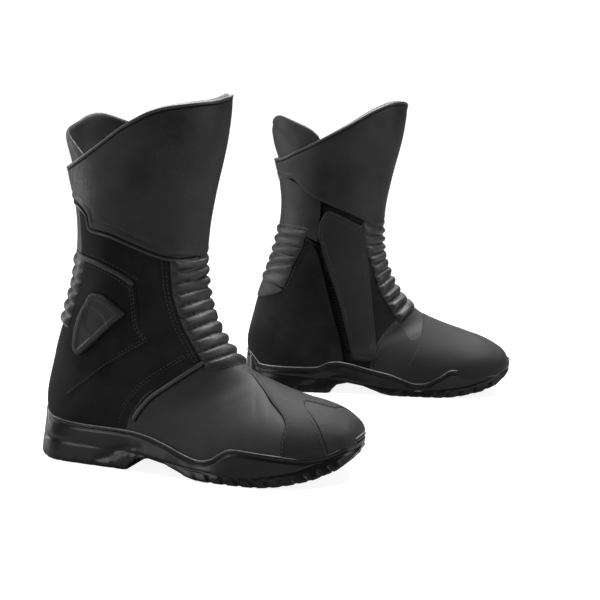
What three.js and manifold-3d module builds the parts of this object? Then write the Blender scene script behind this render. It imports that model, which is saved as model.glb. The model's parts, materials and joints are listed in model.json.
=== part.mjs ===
// A pair of calf-high touring motorcycle boots, standing side by side on their soles.
// Millimetres, +Z up. Each boot is drawn in its own frame: x runs from the back of the heel
// to the toe, y is positive on the inner (medial) side, z = 0 is the ground. The right boot
// is that drawing, the left boot is its mirror image.
import * as THREE from "three";
import { mergeVertices } from "three/addons/utils/BufferGeometryUtils.js";
import Module from "manifold-3d";

const wasm = await Module();
wasm.setup();

// ---------------------------------------------------------------- driving sizes
const footLength = 302; // heel to toe tip of the upper
const footWidth = 95; // across the ball of the foot
const shaftHeight = 331; // ground to the front peak of the collar
const leatherThick = 2.0;
const liningThick = 5.0; // lining with its foam
const gap = 0.3; // clearance between touching pieces
const footbedThick = 4.5;
const boardThick = 2.5;
const stiffenerThick = 1.5; // toe puff and heel counter
const shankSize = { length: 84, width: 17, thick: 1.3, start: 56 };
const overlayThick = 1.2;
const protectorThick = 4.0;
const trimThick = 2.6; // raised cord along the vamp's edge
const ribRise = 2.4; // how proud the padded ribs stand
const grooveHalf = 1.1; // half the stitched groove between two ribs
const treadDepth = 2.6;
const treadGroove = 3.0;
const pipingRadius = 2.1;

// Every outline below is drawn for a 302 long, 95 wide, 331 high boot; these carry it to the sizes above.
// Below kneeLine only length and width change, above it the shaft stretches.
const drawn = { length: 302, width: 95, height: 331 };
const kneeLine = 200;
const lengthwise = (x) => x * footLength / drawn.length;
const crosswise = (y) => y * footWidth / drawn.width;
const upwards = (z) => (z > kneeLine ? kneeLine + (z - kneeLine) * (shaftHeight - kneeLine) / (drawn.height - kneeLine) : z);
const sideLine = (line) => line.map(([x, z]) => [lengthwise(x), upwards(z)]);
const planLine = (line) => line.map(([x, y]) => [lengthwise(x), crosswise(y)]);

const zip = {
  top: [lengthwise(93), 172], bottom: [lengthwise(124), 46], // ends of the chain in the side view
  sink: 4.7, // depth of the tape's middle under the leather's surface
  tapeWidth: 14, tapeThick: 0.8, chainWidth: 5, chainHigh: 1.3,
  sliderLength: 12, sliderWidth: 9, plate: 0.8,
};
const puller = { length: 22, width: 7, thick: 0.7, pinRadius: 0.4 };
const flap = { lift: 1.6, thick: 2.4, stripThick: 0.4, stripWidth: 11 };

// Ankle: the shaft leans about this line across the boot.
const ankle = { x: lengthwise(104), z: 167, hub: 9, back: 159, front: -19, leanFront: 10, leanBack: 5, spare: 1.6 };

// Where each boot stands: heel-to-toe turn in degrees and the place of the boot's middle.
const middleX = lengthwise(120);
const stance = {
  right: { x: -89.5, y: -145.5, turn: -19.5 },
  left: { x: 89.5, y: 145.5, turn: -7.5 },
};

// ---------------------------------------------------------------- finishes
const finish = (color, roughness, metalness = 0) => new THREE.MeshStandardMaterial({ color, roughness, metalness });
const leatherOiled = finish(0x2a2a2b, 0.55);
const leatherMatte = finish(0x1b1b1b, 0.8);
const leatherRib = finish(0x3a3b3c, 0.5);
const rubberSole = finish(0x141414, 0.6);
const mouldedPlate = finish(0x202022, 0.5);
const textileBlack = finish(0x1d1d1e, 0.95);
const pipingShine = finish(0x303032, 0.35);
const boardGrey = finish(0x6c655c, 0.9);
const steelGrey = finish(0x8d9093, 0.35, 1);
const zipMetal = finish(0x2b2b2d, 0.4, 0.8);

// ---------------------------------------------------------------- the last: cross-sections from collar to toe
// front and back are the ends of the section in the side view; lateral and medial are its half widths,
// heart is where it is widest (0 middle, negative nearer the back or sole), square how boxy its back end is,
// aside how far its middle lies towards the medial side.
const sections = [
  { front: [190, 345], back: [22, 345], lateral: 56, medial: 56 },
  { front: [177, 292], back: [30, 288], lateral: 56, medial: 55.5 },
  { front: [165, 243], back: [41, 242], lateral: 53.5, medial: 52.5 },
  { front: [157, 196], back: [42, 200], lateral: 47.5, medial: 47 },
  { front: [158, 160], back: [35, 166], lateral: 44, medial: 44.5 },
  { front: [167, 130], back: [23, 132], lateral: 41, medial: 43.2 },
  { front: [178, 111], back: [10, 94], lateral: 39, medial: 42.3 },
  { front: [194, 95.5], back: [2, 44], lateral: 37.5, medial: 41, square: 2.5 },
  { front: [206, 87], back: [14, 13], lateral: 37.5, medial: 39, square: 3.2, heart: -0.05 },
  { front: [221, 80], back: [90, 11], lateral: 40, medial: 40.5, square: 4, heart: -0.12 },
  { front: [240, 72.5], back: [185, 3], lateral: 49, medial: 46.5, square: 4, heart: -0.25 },
  { front: [255, 67.5], back: [230, 5.5], lateral: 49, medial: 46, square: 3.6, heart: -0.25, aside: 1 },
  { front: [271, 63], back: [263, 12], lateral: 43, medial: 41.5, square: 3, heart: -0.18, aside: 4 },
  { front: [287, 56], back: [288, 21.5], lateral: 31.5, medial: 31, square: 2.4, heart: -0.1, aside: 6.5 },
  { front: [297, 46], back: [299.5, 30], lateral: 17.5, medial: 17.5, aside: 8 },
].map(({ front, back, lateral, medial, ...rest }) => {
  const [[frontX, frontZ], [backX, backZ]] = sideLine([front, back]);
  return { front: [frontX, frontZ], back: [backX, backZ], lateral: crosswise(lateral), medial: crosswise(medial), ...rest };
});
const around = 12; // points round each section

// Height of the platform the upper is lasted to, and of the ground side of the sole.
const platform = sideLine([[-12, 25], [60, 23], [115, 20], [160, 14], [195, 12], [225, 13.5], [262, 20], [300, 32], [318, 38]]);
const ground = sideLine([[-12, 12], [4, 3.5], [18, 0], [101, 0], [107, 9], [122, 12.5], [140, 9.5], [160, 2.5],
  [178, 0], [230, 0], [252, 4], [274, 12], [294, 23], [318, 37]]);
// Outline of the sole seen from above, lateral side first.
const soleOutline = planLine([[-4, 0], [0, -18], [10, -31], [28, -39], [60, -42], [100, -44.5], [140, -48.5], [175, -53], [205, -54.5],
  [235, -52.5], [262, -45], [284, -31], [298, -13], [304, 5], [301, 21], [290, 34], [272, 43.5], [245, 49.5], [212, 51],
  [178, 49], [145, 46.5], [100, 44], [60, 43], [28, 39.5], [10, 31], [0, 18]]);
// Wavy top edge of the sole's side wall.
const waveLateral = sideLine([[-12, 44], [2, 41], [16, 36.5], [82, 35], [112, 33], [140, 26], [160, 19], [174, 17], [186, 19],
  [201, 26.5], [253, 26.5], [282, 30], [296, 36], [318, 46]]);
const waveMedial = sideLine([[-12, 44], [2, 41], [18, 28.5], [80, 28.5], [100, 35], [120, 35], [175, 21], [196, 18],
  [213, 18.5], [240, 29], [282, 31], [298, 37], [318, 46]]);

// Top rim of the shaft and the tab behind it.
const rimLateral = sideLine([[-20, 263], [40, 264.5], [66, 272], [85, 282], [108, 297], [130, 310], [150, 318.5], [162, 323.5], [178, 329], [230, 331]]);
const rimMedial = sideLine([[-20, 264], [40, 264], [66, 274], [90, 285], [124, 303], [154, 321], [178, 329], [230, 331]]);
const tabOutline = sideLine([[12, 270], [17, 296], [27, 311], [38, 313], [54, 306], [70, 294], [86, 280], [96, 262], [96, 240], [20, 240]]);

// Seams in the side view.
const calfEdgeLateral = sideLine([[-20, 240], [44, 236], [70, 226], [73, 213.5], [94, 208.5], [122, 197.5], [144, 189], [230, 186]]);
const calfEdgeMedial = sideLine([[-20, 244], [43, 243], [68, 232], [96, 217], [124, 203], [156, 187], [230, 186]]);
const ribFront = sideLine([[158, 184], [158, 176], [158, 167], [159, 157.5], [162, 148], [166, 138.5], [171, 129], [177, 119.5], [184, 110.5], [191, 102], [199, 94.5]]);
const ribEdgeLateral = sideLine([[141.5, 185], [141.5, 176], [142, 166], [143.5, 156], [145.5, 146], [148, 136.5], [151.5, 127], [155.5, 118], [160.5, 109], [165.5, 101], [170.5, 93.5]]);
const ribEdgeMedial = sideLine([[139, 187], [140, 178], [142, 167], [145, 156], [148.5, 145], [152.5, 134], [157, 123.5], [162, 113], [168, 103.5], [175, 95], [183, 87]]);
const heelRibBack = sideLine([[44, 190], [41, 179], [36, 168], [32, 157], [27, 146], [22, 135], [17, 124]]);
const heelRibEdge = sideLine([[71, 185], [66, 175], [62, 165], [57.5, 154.5], [53, 144], [48, 133], [42.5, 122]]);
const ribSlant = { front: -0.17, heel: 0.13 };
const quarterEdge = sideLine([[170, 103], [163, 96], [140, 81], [121, 66.5], [106, 48], [98, 10]]); // lateral quarter over vamp
const vampMedialEdge = sideLine([[206, 88], [208, 78], [204.5, 66], [200, 51], [193, 37], [182, 8]]);
const vampMedialRear = sideLine([[190, 112], [184, 92], [177, 76], [169, 60], [160, 46], [151, 30], [145, 6]]);
const shiftLateral = sideLine([[206, 87], [230, 69], [245, 59], [249.5, 51], [247, 10]]); // back edge of the shift pad
const shiftTop = [lengthwise(206), 100];
const toeLateral = sideLine([[252, 80], [257, 66], [268, 57.5], [277, 48], [283, 32], [285, 8]]);
const toeMedial = sideLine([[252, 80], [268, 68], [284, 57], [293, 46], [298, 36], [304, 20]]);
const overlayOutline = sideLine([[64, 178], [86, 172], [100, 166], [112, 161], [114.5, 152], [115, 138], [124.5, 118], [100.5, 102.4], [79.8, 90], [40, 61],
  [27, 84], [36, 112], [46, 136], [54, 158]]);
const protectorOutline = sideLine([[67, 154], [75, 158], [88, 156.5], [99, 148], [105.5, 141], [96, 132], [76, 114.5], [55, 98.5], [48.5, 104], [48, 114], [56, 137]]);
const flapOutline = sideLine([[90.5, 202], [99, 208], [137, 190], [156, 40], [131, 39], [111, 120], [98, 173]]);

// ---------------------------------------------------------------- small helpers
const lerp = THREE.MathUtils.lerp;
const radians = THREE.MathUtils.degToRad;

function heightAt(line, x) {
  const i = Math.max(1, line.findIndex((p) => p[0] >= x));
  const [a, b] = [line[i - 1], line[i]];
  return lerp(a[1], b[1], (x - a[0]) / (b[0] - a[0]));
}
const raised = (line, dz) => line.map(([x, z]) => [x, z + dz]);
const reversed = (line) => [...line].reverse();

function solidOf(geometry) {
  const bare = new THREE.BufferGeometry().setAttribute("position", geometry.getAttribute("position"));
  if (geometry.index) bare.setIndex(geometry.index);
  const merged = mergeVertices(bare, 1e-4);
  const made = new wasm.Manifold(new wasm.Mesh({
    numProp: 3,
    vertProperties: new Float32Array(merged.attributes.position.array),
    triVerts: new Uint32Array(merged.index.array),
  }));
  return made;
}

function geometryOf(solid) {
  const { vertProperties, triVerts, numProp, numVert } = solid.getMesh();
  const position = new Float32Array(numVert * 3);
  for (let i = 0; i < numVert; i++) {
    for (let k = 0; k < 3; k++) position[i * 3 + k] = vertProperties[i * numProp + k];
  }
  const geometry = new THREE.BufferGeometry();
  geometry.setAttribute("position", new THREE.BufferAttribute(position, 3));
  geometry.setIndex(new THREE.BufferAttribute(new Uint32Array(triVerts), 1));
  geometry.computeVertexNormals();
  return geometry;
}

// The largest body of a solid: a cut across a curved shell can leave crumbs.
function mainBody(solid) {
  return solid.decompose().reduce((a, b) => (a.volume() > b.volume() ? a : b));
}

function area(outline) {
  return outline.reduce((sum, p, i) => {
    const q = outline[(i + 1) % outline.length];
    return sum + p[0] * q[1] - q[0] * p[1];
  }, 0) / 2;
}

// An outline with each side moved outwards by distance.
function grown(outline, distance) {
  const ring = area(outline) > 0 ? outline : reversed(outline);
  const sides = ring.map((p, i) => {
    const q = ring[(i + 1) % ring.length];
    const length = Math.hypot(q[0] - p[0], q[1] - p[1]);
    const normal = [(q[1] - p[1]) / length, (p[0] - q[0]) / length];
    return { at: [p[0] + normal[0] * distance, p[1] + normal[1] * distance], run: [q[0] - p[0], q[1] - p[1]] };
  });
  return sides.map((side, i) => {
    const before = sides[(i + sides.length - 1) % sides.length];
    const cross = before.run[0] * side.run[1] - before.run[1] * side.run[0];
    if (Math.abs(cross) < 1e-6) return side.at;
    const d = [side.at[0] - before.at[0], side.at[1] - before.at[1]];
    const t = (d[0] * side.run[1] - d[1] * side.run[0]) / cross;
    return [before.at[0] + before.run[0] * t, before.at[1] + before.run[1] * t];
  });
}

const farSide = 130;
const sides = { lateral: [-farSide, 0.02], medial: [-0.02, farSide], both: [-farSide, farSide] };

// A side-view outline (x, z) run through from y0 to y1; slant moves it forward as y grows.
function prism(outline, [y0, y1], slant = 0) {
  const shape = new THREE.Shape(outline.map(([x, z]) => new THREE.Vector2(x, z)));
  const geometry = new THREE.ExtrudeGeometry(shape, { depth: y1 - y0, bevelEnabled: false });
  geometry.rotateX(Math.PI / 2);
  geometry.translate(0, y1, 0);
  if (slant) geometry.applyMatrix4(new THREE.Matrix4().makeShear(0, 0, slant, 0, 0, 0));
  return solidOf(geometry);
}

// A plan outline (x, y) run up from z0 to z1.
function column(outline, z0, z1) {
  const shape = new THREE.Shape(outline.map(([x, y]) => new THREE.Vector2(x, y)));
  const geometry = new THREE.ExtrudeGeometry(shape, { depth: z1 - z0, bevelEnabled: false });
  geometry.translate(0, 0, z0);
  return solidOf(geometry);
}

function block(sizeX, sizeY, sizeZ, matrix) {
  const geometry = new THREE.BoxGeometry(sizeX, sizeY, sizeZ);
  if (matrix) geometry.applyMatrix4(matrix);
  return solidOf(geometry);
}

const union = (list) => list.reduce((a, b) => a.add(b));

// Everything between two side-view lines that both run from heel to toe.
const between = (low, high, span = sides.both) => prism([...low, ...reversed(high)], span);
const highAbove = (line) => [[line[0][0], 520], [line[line.length - 1][0], 520]];
const above = (line, span = sides.both) => prism([...line, ...reversed(highAbove(line))], span);
const deepBelow = (line) => [[line[0][0], -60], [line[line.length - 1][0], -60]];
const below = (line, span = sides.both) => prism([...deepBelow(line), ...reversed(line)], span);

// ---------------------------------------------------------------- the upper's surface
function sectionPoint(section, angle) {
  const { front, back, lateral, medial, heart = 0, square = 2, aside = 0 } = section;
  const c = Math.cos(angle), s = Math.sin(angle);
  const power = c >= 0 ? 1 : 2 / square;
  const along = c >= 0 ? heart + (1 - heart) * c : heart - (1 + heart) * Math.abs(c) ** power;
  const across = Math.sign(s) * Math.abs(s) ** (c >= 0 ? 1 : power) * (s > 0 ? medial : lateral);
  const share = (along + 1) / 2;
  return new THREE.Vector3(lerp(back[0], front[0], share), across + aside, lerp(back[1], front[1], share));
}

const surface = sections.map((section) =>
  Array.from({ length: around }, (_, j) => sectionPoint(section, (j / around) * 2 * Math.PI)));
const surfaceNormal = surface.map((ring, i) => ring.map((_, j) => {
  const next = surface[Math.min(i + 1, surface.length - 1)][j];
  const last = surface[Math.max(i - 1, 0)][j];
  const left = ring[(j + 1) % around], right = ring[(j + around - 1) % around];
  const along = new THREE.Vector3().subVectors(next, last);
  const across = new THREE.Vector3().subVectors(left, right);
  return new THREE.Vector3().crossVectors(along, across).normalize();
}));
const toeTip = new THREE.Vector3(lengthwise(301.5), crosswise(8.5), 38);

// The closed body inside the upper's surface moved outwards by offset.
const bodies = new Map();
function lastBody(offset) {
  if (bodies.has(offset)) return bodies.get(offset);
  const points = surface.flatMap((ring, i) => ring.map((p, j) => p.clone().addScaledVector(surfaceNormal[i][j], offset)));
  const rings = surface.length;
  const lidCentre = points.slice(0, around).reduce((a, b) => a.add(b), new THREE.Vector3()).divideScalar(around);
  points.push(lidCentre, toeTip.clone().add(new THREE.Vector3(offset, 0, 0)));
  const lid = rings * around, tip = lid + 1;
  const faces = [];
  for (let j = 0; j < around; j++) {
    const k = (j + 1) % around;
    faces.push([lid, j, k]);
    for (let i = 0; i < rings - 1; i++) {
      const a = i * around + j, b = i * around + k;
      faces.push([a, a + around, b + around], [a, b + around, b]);
    }
    faces.push([(rings - 1) * around + j, tip, (rings - 1) * around + k]);
  }
  const geometry = new THREE.BufferGeometry().setFromPoints(points);
  geometry.setIndex(faces.flat());
  const made = solidOf(geometry);
  if (made.volume() <= 0) throw new Error("the last is inside out");
  bodies.set(offset, made);
  return made;
}
const layer = (inner, outer) => lastBody(outer).subtract(lastBody(inner));

// How far out the upper's surface lies at a point of the side view.
function sideDepth(x, z, side = 1) {
  const at = new THREE.Vector3(x, 0, z), flat = (p) => new THREE.Vector3(p.x, 0, p.z);
  let deepest = 0;
  for (let i = 0; i < surface.length - 1; i++) {
    for (let j = 0; j < around; j++) {
      const k = (j + 1) % around;
      const corners = [surface[i][j], surface[i + 1][j], surface[i + 1][k], surface[i][k]];
      for (const [a, b, c] of [[corners[0], corners[1], corners[2]], [corners[0], corners[2], corners[3]]]) {
        const share = new THREE.Vector3();
        if (!THREE.Triangle.getBarycoord(at, flat(a), flat(b), flat(c), share)) continue;
        if (Math.min(share.x, share.y, share.z) < -1e-6) continue;
        const y = a.y * share.x + b.y * share.y + c.y * share.z;
        if (y * side > deepest) deepest = y * side;
      }
    }
  }
  return deepest * side;
}

// ---------------------------------------------------------------- the two halves that lean about the ankle
function sector(fromDegrees, toDegrees, hubRadius, inside) {
  const reach = 600, points = [];
  const steps = 14;
  for (let i = 0; i <= steps; i++) {
    const a = radians(lerp(fromDegrees, toDegrees, i / steps));
    points.push([ankle.x + reach * Math.cos(a), ankle.z + reach * Math.sin(a)]);
  }
  const hub = [];
  for (let i = 0; i <= steps; i++) {
    const a = radians(inside ? lerp(toDegrees, fromDegrees, i / steps) : lerp(toDegrees, fromDegrees + 360, i / steps));
    hub.push([ankle.x + hubRadius * Math.cos(a), ankle.z + hubRadius * Math.sin(a)]);
  }
  return prism([...points, ...hub], sides.both);
}
const footHalf = sector(ankle.back, 360 + ankle.front, ankle.hub, false);
const shaftHalf = sector(ankle.front + ankle.leanFront + ankle.spare, ankle.back - ankle.leanBack - ankle.spare, ankle.hub + gap, true);

// ---------------------------------------------------------------- cutting the leather
// Takes the outline's part out of what is left of a layer; what stays keeps a gap to it.
function cutter(stock) {
  let left = stock;
  return {
    take(...cuts) {
      const region = union(cuts.map(([outline, span, slant]) => prism(outline, span, slant)));
      const wider = union(cuts.map(([outline, span, slant]) => prism(grown(outline, gap), span, slant)));
      const piece = left.intersect(region);
      left = left.subtract(wider);
      return piece;
    },
    rest: () => left,
  };
}

const insoleTop = boardThick + gap;
const liningInner = -(leatherThick + gap + liningThick);
const liningOuter = -(leatherThick + gap);

// Frame of the zip: u up the chain, v across it, w outwards.
const zipFrame = (() => {
  const point = ([x, z]) => new THREE.Vector3(x, sideDepth(x, z) - zip.sink, z);
  const top = point(zip.top), bottom = point(zip.bottom);
  const u = new THREE.Vector3().subVectors(top, bottom).normalize();
  const w = new THREE.Vector3(0, 1, 0).addScaledVector(u, -u.y).normalize();
  const v = new THREE.Vector3().crossVectors(u, w);
  const length = top.distanceTo(bottom);
  const at = (along, across, out) => bottom.clone().addScaledVector(u, along).addScaledVector(v, across).addScaledVector(w, out);
  const basis = (along, across, out) => new THREE.Matrix4().makeBasis(v, u, w).setPosition(at(along, across, out));
  return { top, bottom, u, v, w, length, at, basis };
})();

// A box in the zip's frame: across from -half to half, along from a to b, out from low to high.
function zipBlock(half, a, b, low, high, across = 0) {
  const matrix = zipFrame.basis((a + b) / 2, across, (low + high) / 2);
  return block(2 * half, b - a, high - low, matrix);
}

function sole() {
  const outline = new THREE.SplineCurve(soleOutline.map(([x, y]) => new THREE.Vector2(x, y)));
  const smooth = [...outline.getPoints(30).map((p) => [p.x, p.y])];
  const foot = column(smooth, -5, 60);
  const sunk = raised(platform, -gap);
  const pocket = [shankSize.start, shankSize.start + shankSize.length];
  const shankPlan = (spare) => column([[pocket[0] - spare, -shankSize.width / 2 - spare], [pocket[1] + spare, -shankSize.width / 2 - spare],
    [pocket[1] + spare, shankSize.width / 2 + spare], [pocket[0] - spare, shankSize.width / 2 + spare]], -5, 60);
  let outsole = between(ground, sunk).intersect(foot);
  outsole = outsole.subtract(between(raised(sunk, -shankSize.thick - gap), raised(sunk, 5)).intersect(shankPlan(gap)));
  const tread = between(raised(ground, -8), raised(ground, treadDepth));
  const grooves = [];
  for (const [start, end, pitch, lean] of [[lengthwise(170), lengthwise(292), 15, 14], [lengthwise(20), lengthwise(96), 19, 0]]) {
    for (let x = start; x < end; x += pitch) {
      for (const side of [-1, 1]) {
        grooves.push(column([[x, side * 20], [x + treadGroove, side * 20], [x + treadGroove + lean, side * 70], [x + lean, side * 70]], -5, 60));
      }
    }
  }
  outsole = outsole.subtract(union(grooves).intersect(tread));
  const shank = between(raised(sunk, -shankSize.thick - 0.02), raised(sunk, -0.02)).intersect(shankPlan(0));
  const rand = union([between(platform, waveLateral, sides.lateral), between(platform, waveMedial, sides.medial)])
    .intersect(foot).subtract(lastBody(gap));
  const board = lastBody(liningOuter).intersect(between(platform, raised(platform, boardThick)));
  const footbedTip = [[-20, -80], [258, -80], [272, -8], [275, 8], [272, 20], [258, 80], [-20, 80]].map(([x, y]) => [lengthwise(x), y]);
  const footbed = lastBody(liningInner - gap * 2).intersect(between(raised(platform, insoleTop), raised(platform, insoleTop + footbedThick)))
    .intersect(column(footbedTip, -10, 120))
    .simplify(0.02);
  return { outsole, shank, rand, insole_board: board, footbed };
}

// Bands between neighbouring grooves, from an edge line to beyond the silhouette.
function ribBands(front, edge, reachPast) {
  return front.slice(1).map((_, i) => {
    const corner = (line, k, share) => [lerp(line[k][0], line[k + 1][0], share), lerp(line[k][1], line[k + 1][1], share)];
    const pitch = Math.hypot(front[i + 1][0] - front[i][0], front[i + 1][1] - front[i][1]);
    const share = grooveHalf / pitch;
    const out = (p) => [p[0] + reachPast, p[1]];
    return [corner(edge, i, share), out(corner(front, i, share)), out(corner(front, i, 1 - share)), corner(edge, i, 1 - share)];
  });
}

function ribPanel(stock, front, parts, reachPast) {
  const region = (edge) => [...edge, ...reversed(front).map(([x, z]) => [x + reachPast, z])];
  const base = stock.take(...parts.map(([edge, span, slant]) => [region(edge), span, slant]));
  const proud = layer(-leatherThick / 2, ribRise);
  const bands = parts.flatMap(([edge, span, slant]) => ribBands(front, edge, reachPast).map((band) => proud.intersect(prism(band, span, slant))));
  return mainBody(base.add(union(bands)));
}

function upper() {
  const lasted = layer(-leatherThick, 0).intersect(above(platform));
  const calfRegion = [[rimLateral, calfEdgeLateral, sides.lateral], [rimMedial, calfEdgeMedial, sides.medial]];
  const calf = union(calfRegion.map(([rim, edge, span]) => between(edge, rim, span))).intersect(lasted);
  const overCalf = union(calfRegion.map(([, edge, span]) => above(raised(edge, -gap), span)));
  const stock = cutter(lasted.subtract(overCalf));

  const reach = 30;
  const front_flex_ribs = ribPanel(stock, ribFront, [[ribEdgeLateral, sides.lateral, 0], [ribEdgeMedial, sides.medial, 0]], reach);
  const rear_flex_ribs = ribPanel(stock, heelRibBack, [[heelRibEdge, sides.both, ribSlant.heel]], -reach - 20);
  const channel = zipBlock(zip.tapeWidth / 2 + 2, -14, zipFrame.length + 60, -8, 20);
  const ahead = [[400, 0], [400, 90]];
  const toe_cap = mainBody(stock.take([[...toeLateral, ...ahead, [toeLateral[0][0], 90]], sides.lateral], [[...toeMedial, ...ahead, [toeMedial[0][0], 90]], sides.medial]));
  const shift_pad = mainBody(stock.take([[...shiftLateral, ...ahead, shiftTop], sides.lateral],
    [[...vampMedialEdge, ...ahead, shiftTop], sides.medial]));
  const overFoot = sideLine([[300, -20], [300, 90], [240, 112]]);
  const vamp = mainBody(stock.take([[[lengthwise(190), 112], ...quarterEdge, ...overFoot], sides.lateral],
    [[...vampMedialRear, ...overFoot], sides.medial]));
  const rest = stock.rest();
  const lateralSide = prism([[-50, -20], [480, -20], [480, 520], [-50, 520]], sides.lateral);
  const medialSide = prism([[-50, -20], [480, -20], [480, 520], [-50, 520]], [gap, farSide]);
  const behindZip = prism([[-60, -20], [zip.bottom[0] + 17, -20], zip.bottom, zip.top, [zip.top[0] - 7, 215], [zip.top[0] - 7, 300], [-60, 300]], [gap, farSide]);
  const lateral_quarter = mainBody(rest.intersect(lateralSide).intersect(footHalf));
  const lateral_gaiter = mainBody(rest.intersect(lateralSide).intersect(shaftHalf));
  const medialRest = rest.intersect(medialSide).subtract(channel);
  const medialLower = medialRest.intersect(footHalf);
  const medial_quarter_rear = mainBody(medialLower.intersect(behindZip));
  const medial_quarter_front = mainBody(medialLower.subtract(behindZip));
  const medial_gaiter = mainBody(medialRest.intersect(shaftHalf).intersect(behindZip));

  const trim = layer(gap, trimThick).intersect(prism(trimOutline(), [-farSide, -2]));
  const seat = layer(-leatherThick / 2, gap + 0.1).intersect(prism(trimOutline(-1), [-farSide, -2]));
  const ankle_overlay = mainBody(layer(gap, overlayThick).intersect(prism(overlayOutline, sides.lateral)).intersect(footHalf)
    .subtract(front_flex_ribs).subtract(rear_flex_ribs));
  const ankle_protector = mainBody(layer(overlayThick + gap, overlayThick + gap + protectorThick)
    .intersect(prism(protectorOutline, sides.lateral)));
  return {
    foot: { toe_cap, shift_pad, vamp: mainBody(vamp.add(trim.add(seat.intersect(vamp)))), front_flex_ribs, rear_flex_ribs, lateral_quarter,
      medial_quarter_rear, medial_quarter_front, ankle_overlay, ankle_protector },
    shaft: { calf_panel: mainBody(calf), lateral_gaiter, medial_gaiter },
  };
}

// The raised cord lies just in front of the lateral quarter's edge.
function trimOutline(inset = 0) {
  const near = quarterEdge.slice(1, 4).map(([x, z]) => [x + 3.5 - inset * 0.6, z - 3.5 + inset * 0.6]);
  const far = quarterEdge.slice(1, 4).map(([x, z]) => [x + 7 + inset * 0.6, z - 7 - inset * 0.6]);
  return [...near, ...reversed(far)];
}

function lining(rearTabRegion) {
  const overBoard = above(raised(platform, insoleTop + gap));
  const recess = (half, floor) => zipBlock(half, -10, zipFrame.length + 14, -zip.tapeThick / 2 - floor, 30);
  const stiffener = (outline) => layer(liningOuter - stiffenerThick, liningOuter).intersect(prism(outline, sides.both)).intersect(overBoard);
  const foot = layer(liningInner, liningOuter - stiffenerThick - 2.5 * gap).intersect(overBoard).intersect(footHalf)
    .subtract(recess(zip.tapeWidth / 2 + 1, gap)).intersect(lastBody(liningOuter - stiffenerThick));
  const lowered = union([below(raised(rimLateral, -4), sides.lateral), below(raised(rimMedial, -4), sides.medial)]);
  const shaft = layer(liningInner, liningOuter).intersect(shaftHalf).intersect(lowered).subtract(recess(14, gap + 1.1))
    .subtract(prism(grown(rearTabRegion, gap), sides.both));
  return {
    foot_lining: mainBody(foot),
    shaft_lining: mainBody(shaft),
    heel_counter: mainBody(stiffener(sideLine([[-40, 20], [72, 20], [60, 60], [36, 82], [-40, 82]]))),
    toe_puff: mainBody(stiffener(sideLine([[256, 0], [340, 0], [340, 90], [262, 90]]))),
  };
}

// A round cord along the rim, seated on the calf panel's top edge.
function collarPiping() {
  const proud = layer(-leatherThick - 1.2, pipingRadius);
  const strip = (rim, span) => between(raised(rim, gap), raised(rim, gap + 1.8 * pipingRadius), span);
  const underRims = union([below(raised(rimLateral, gap), [-farSide, gap]), below(raised(rimMedial, gap), [-gap, farSide])]);
  const collar = union([strip(rimLateral, sides.lateral), strip(rimMedial, sides.medial)]).subtract(underRims);
  return mainBody(proud.intersect(collar).subtract(lastBody(liningOuter + gap / 2)));
}

function closure() {
  const start = flap.lift, outer = flap.lift + flap.thick;
  const cover = layer(start, outer).intersect(prism(flapOutline, [5, farSide]));
  const beside = (z, ahead) => [lerp(zip.bottom[0], zip.top[0], (z - zip.bottom[1]) / (zip.top[1] - zip.bottom[1])) + ahead, z];
  const strip = (low, high, near) => [beside(low, near), beside(low, near + flap.stripWidth), beside(high, near + flap.stripWidth), beside(high, near)];
  const clear = zip.tapeWidth / 2 + 2.6;
  const hook_strip = layer(start - gap - flap.stripThick, start - gap).intersect(prism(strip(60, 154, clear + 1), [5, farSide]));
  const loop_strip = layer(gap / 2, gap / 2 + flap.stripThick).intersect(prism(strip(56, 158, clear), [5, farSide]));
  return { cover, hook_strip, loop_strip };
}

function zipParts() {
  const half = zip.tapeThick / 2;
  const { sliderLength, sliderWidth, chainWidth, chainHigh, plate } = zip;
  const tape = zipBlock(zip.tapeWidth / 2, 0, zipFrame.length, -half, half);
  const chain = zipBlock(chainWidth / 2, 2, zipFrame.length - 2, half - 0.1, half + chainHigh);
  const stopA = zipBlock(chainWidth / 2 + 1.2, 0.5, 3, half - 0.1, half + chainHigh + 0.4);
  const top = zipFrame.length - 4, low = half + gap, roof = half + chainHigh + gap;
  let slider = zipBlock(sliderWidth / 2, top - sliderLength, top, low, roof + plate);
  slider = slider.subtract(zipBlock(chainWidth / 2 + gap, top - sliderLength - 1, top + 1, low - 1, roof));
  const post = roof + plate, middle = top - sliderLength / 2;
  const bail = zipBlock(1.1, middle - 3.4, middle + 3.4, post - 0.2, post + 2.1)
    .subtract(zipBlock(3, middle - 2.0, middle + 2.0, post, post + 1.4));
  slider = slider.add(bail);
  const pin = { along: middle, out: post + 0.7 };
  const plateLow = pin.out - puller.thick / 2, plateHigh = pin.out + puller.thick / 2;
  let tab = zipBlock(puller.width / 2, middle - puller.length, middle + puller.pinRadius, plateLow, plateHigh);
  tab = tab.subtract(zipBlock(puller.width / 2 - 1.9, middle - 5.5, middle - puller.pinRadius, plateLow - 1, plateHigh + 1));
  return { zip_tape: tape.add(chain).add(stopA), zip_slider: slider, zip_puller: tab, pin };
}

// ---------------------------------------------------------------- one boot
const flapHinge = { bottom: [lengthwise(157.5), 40], top: [lengthwise(138.5), 190] };

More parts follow.
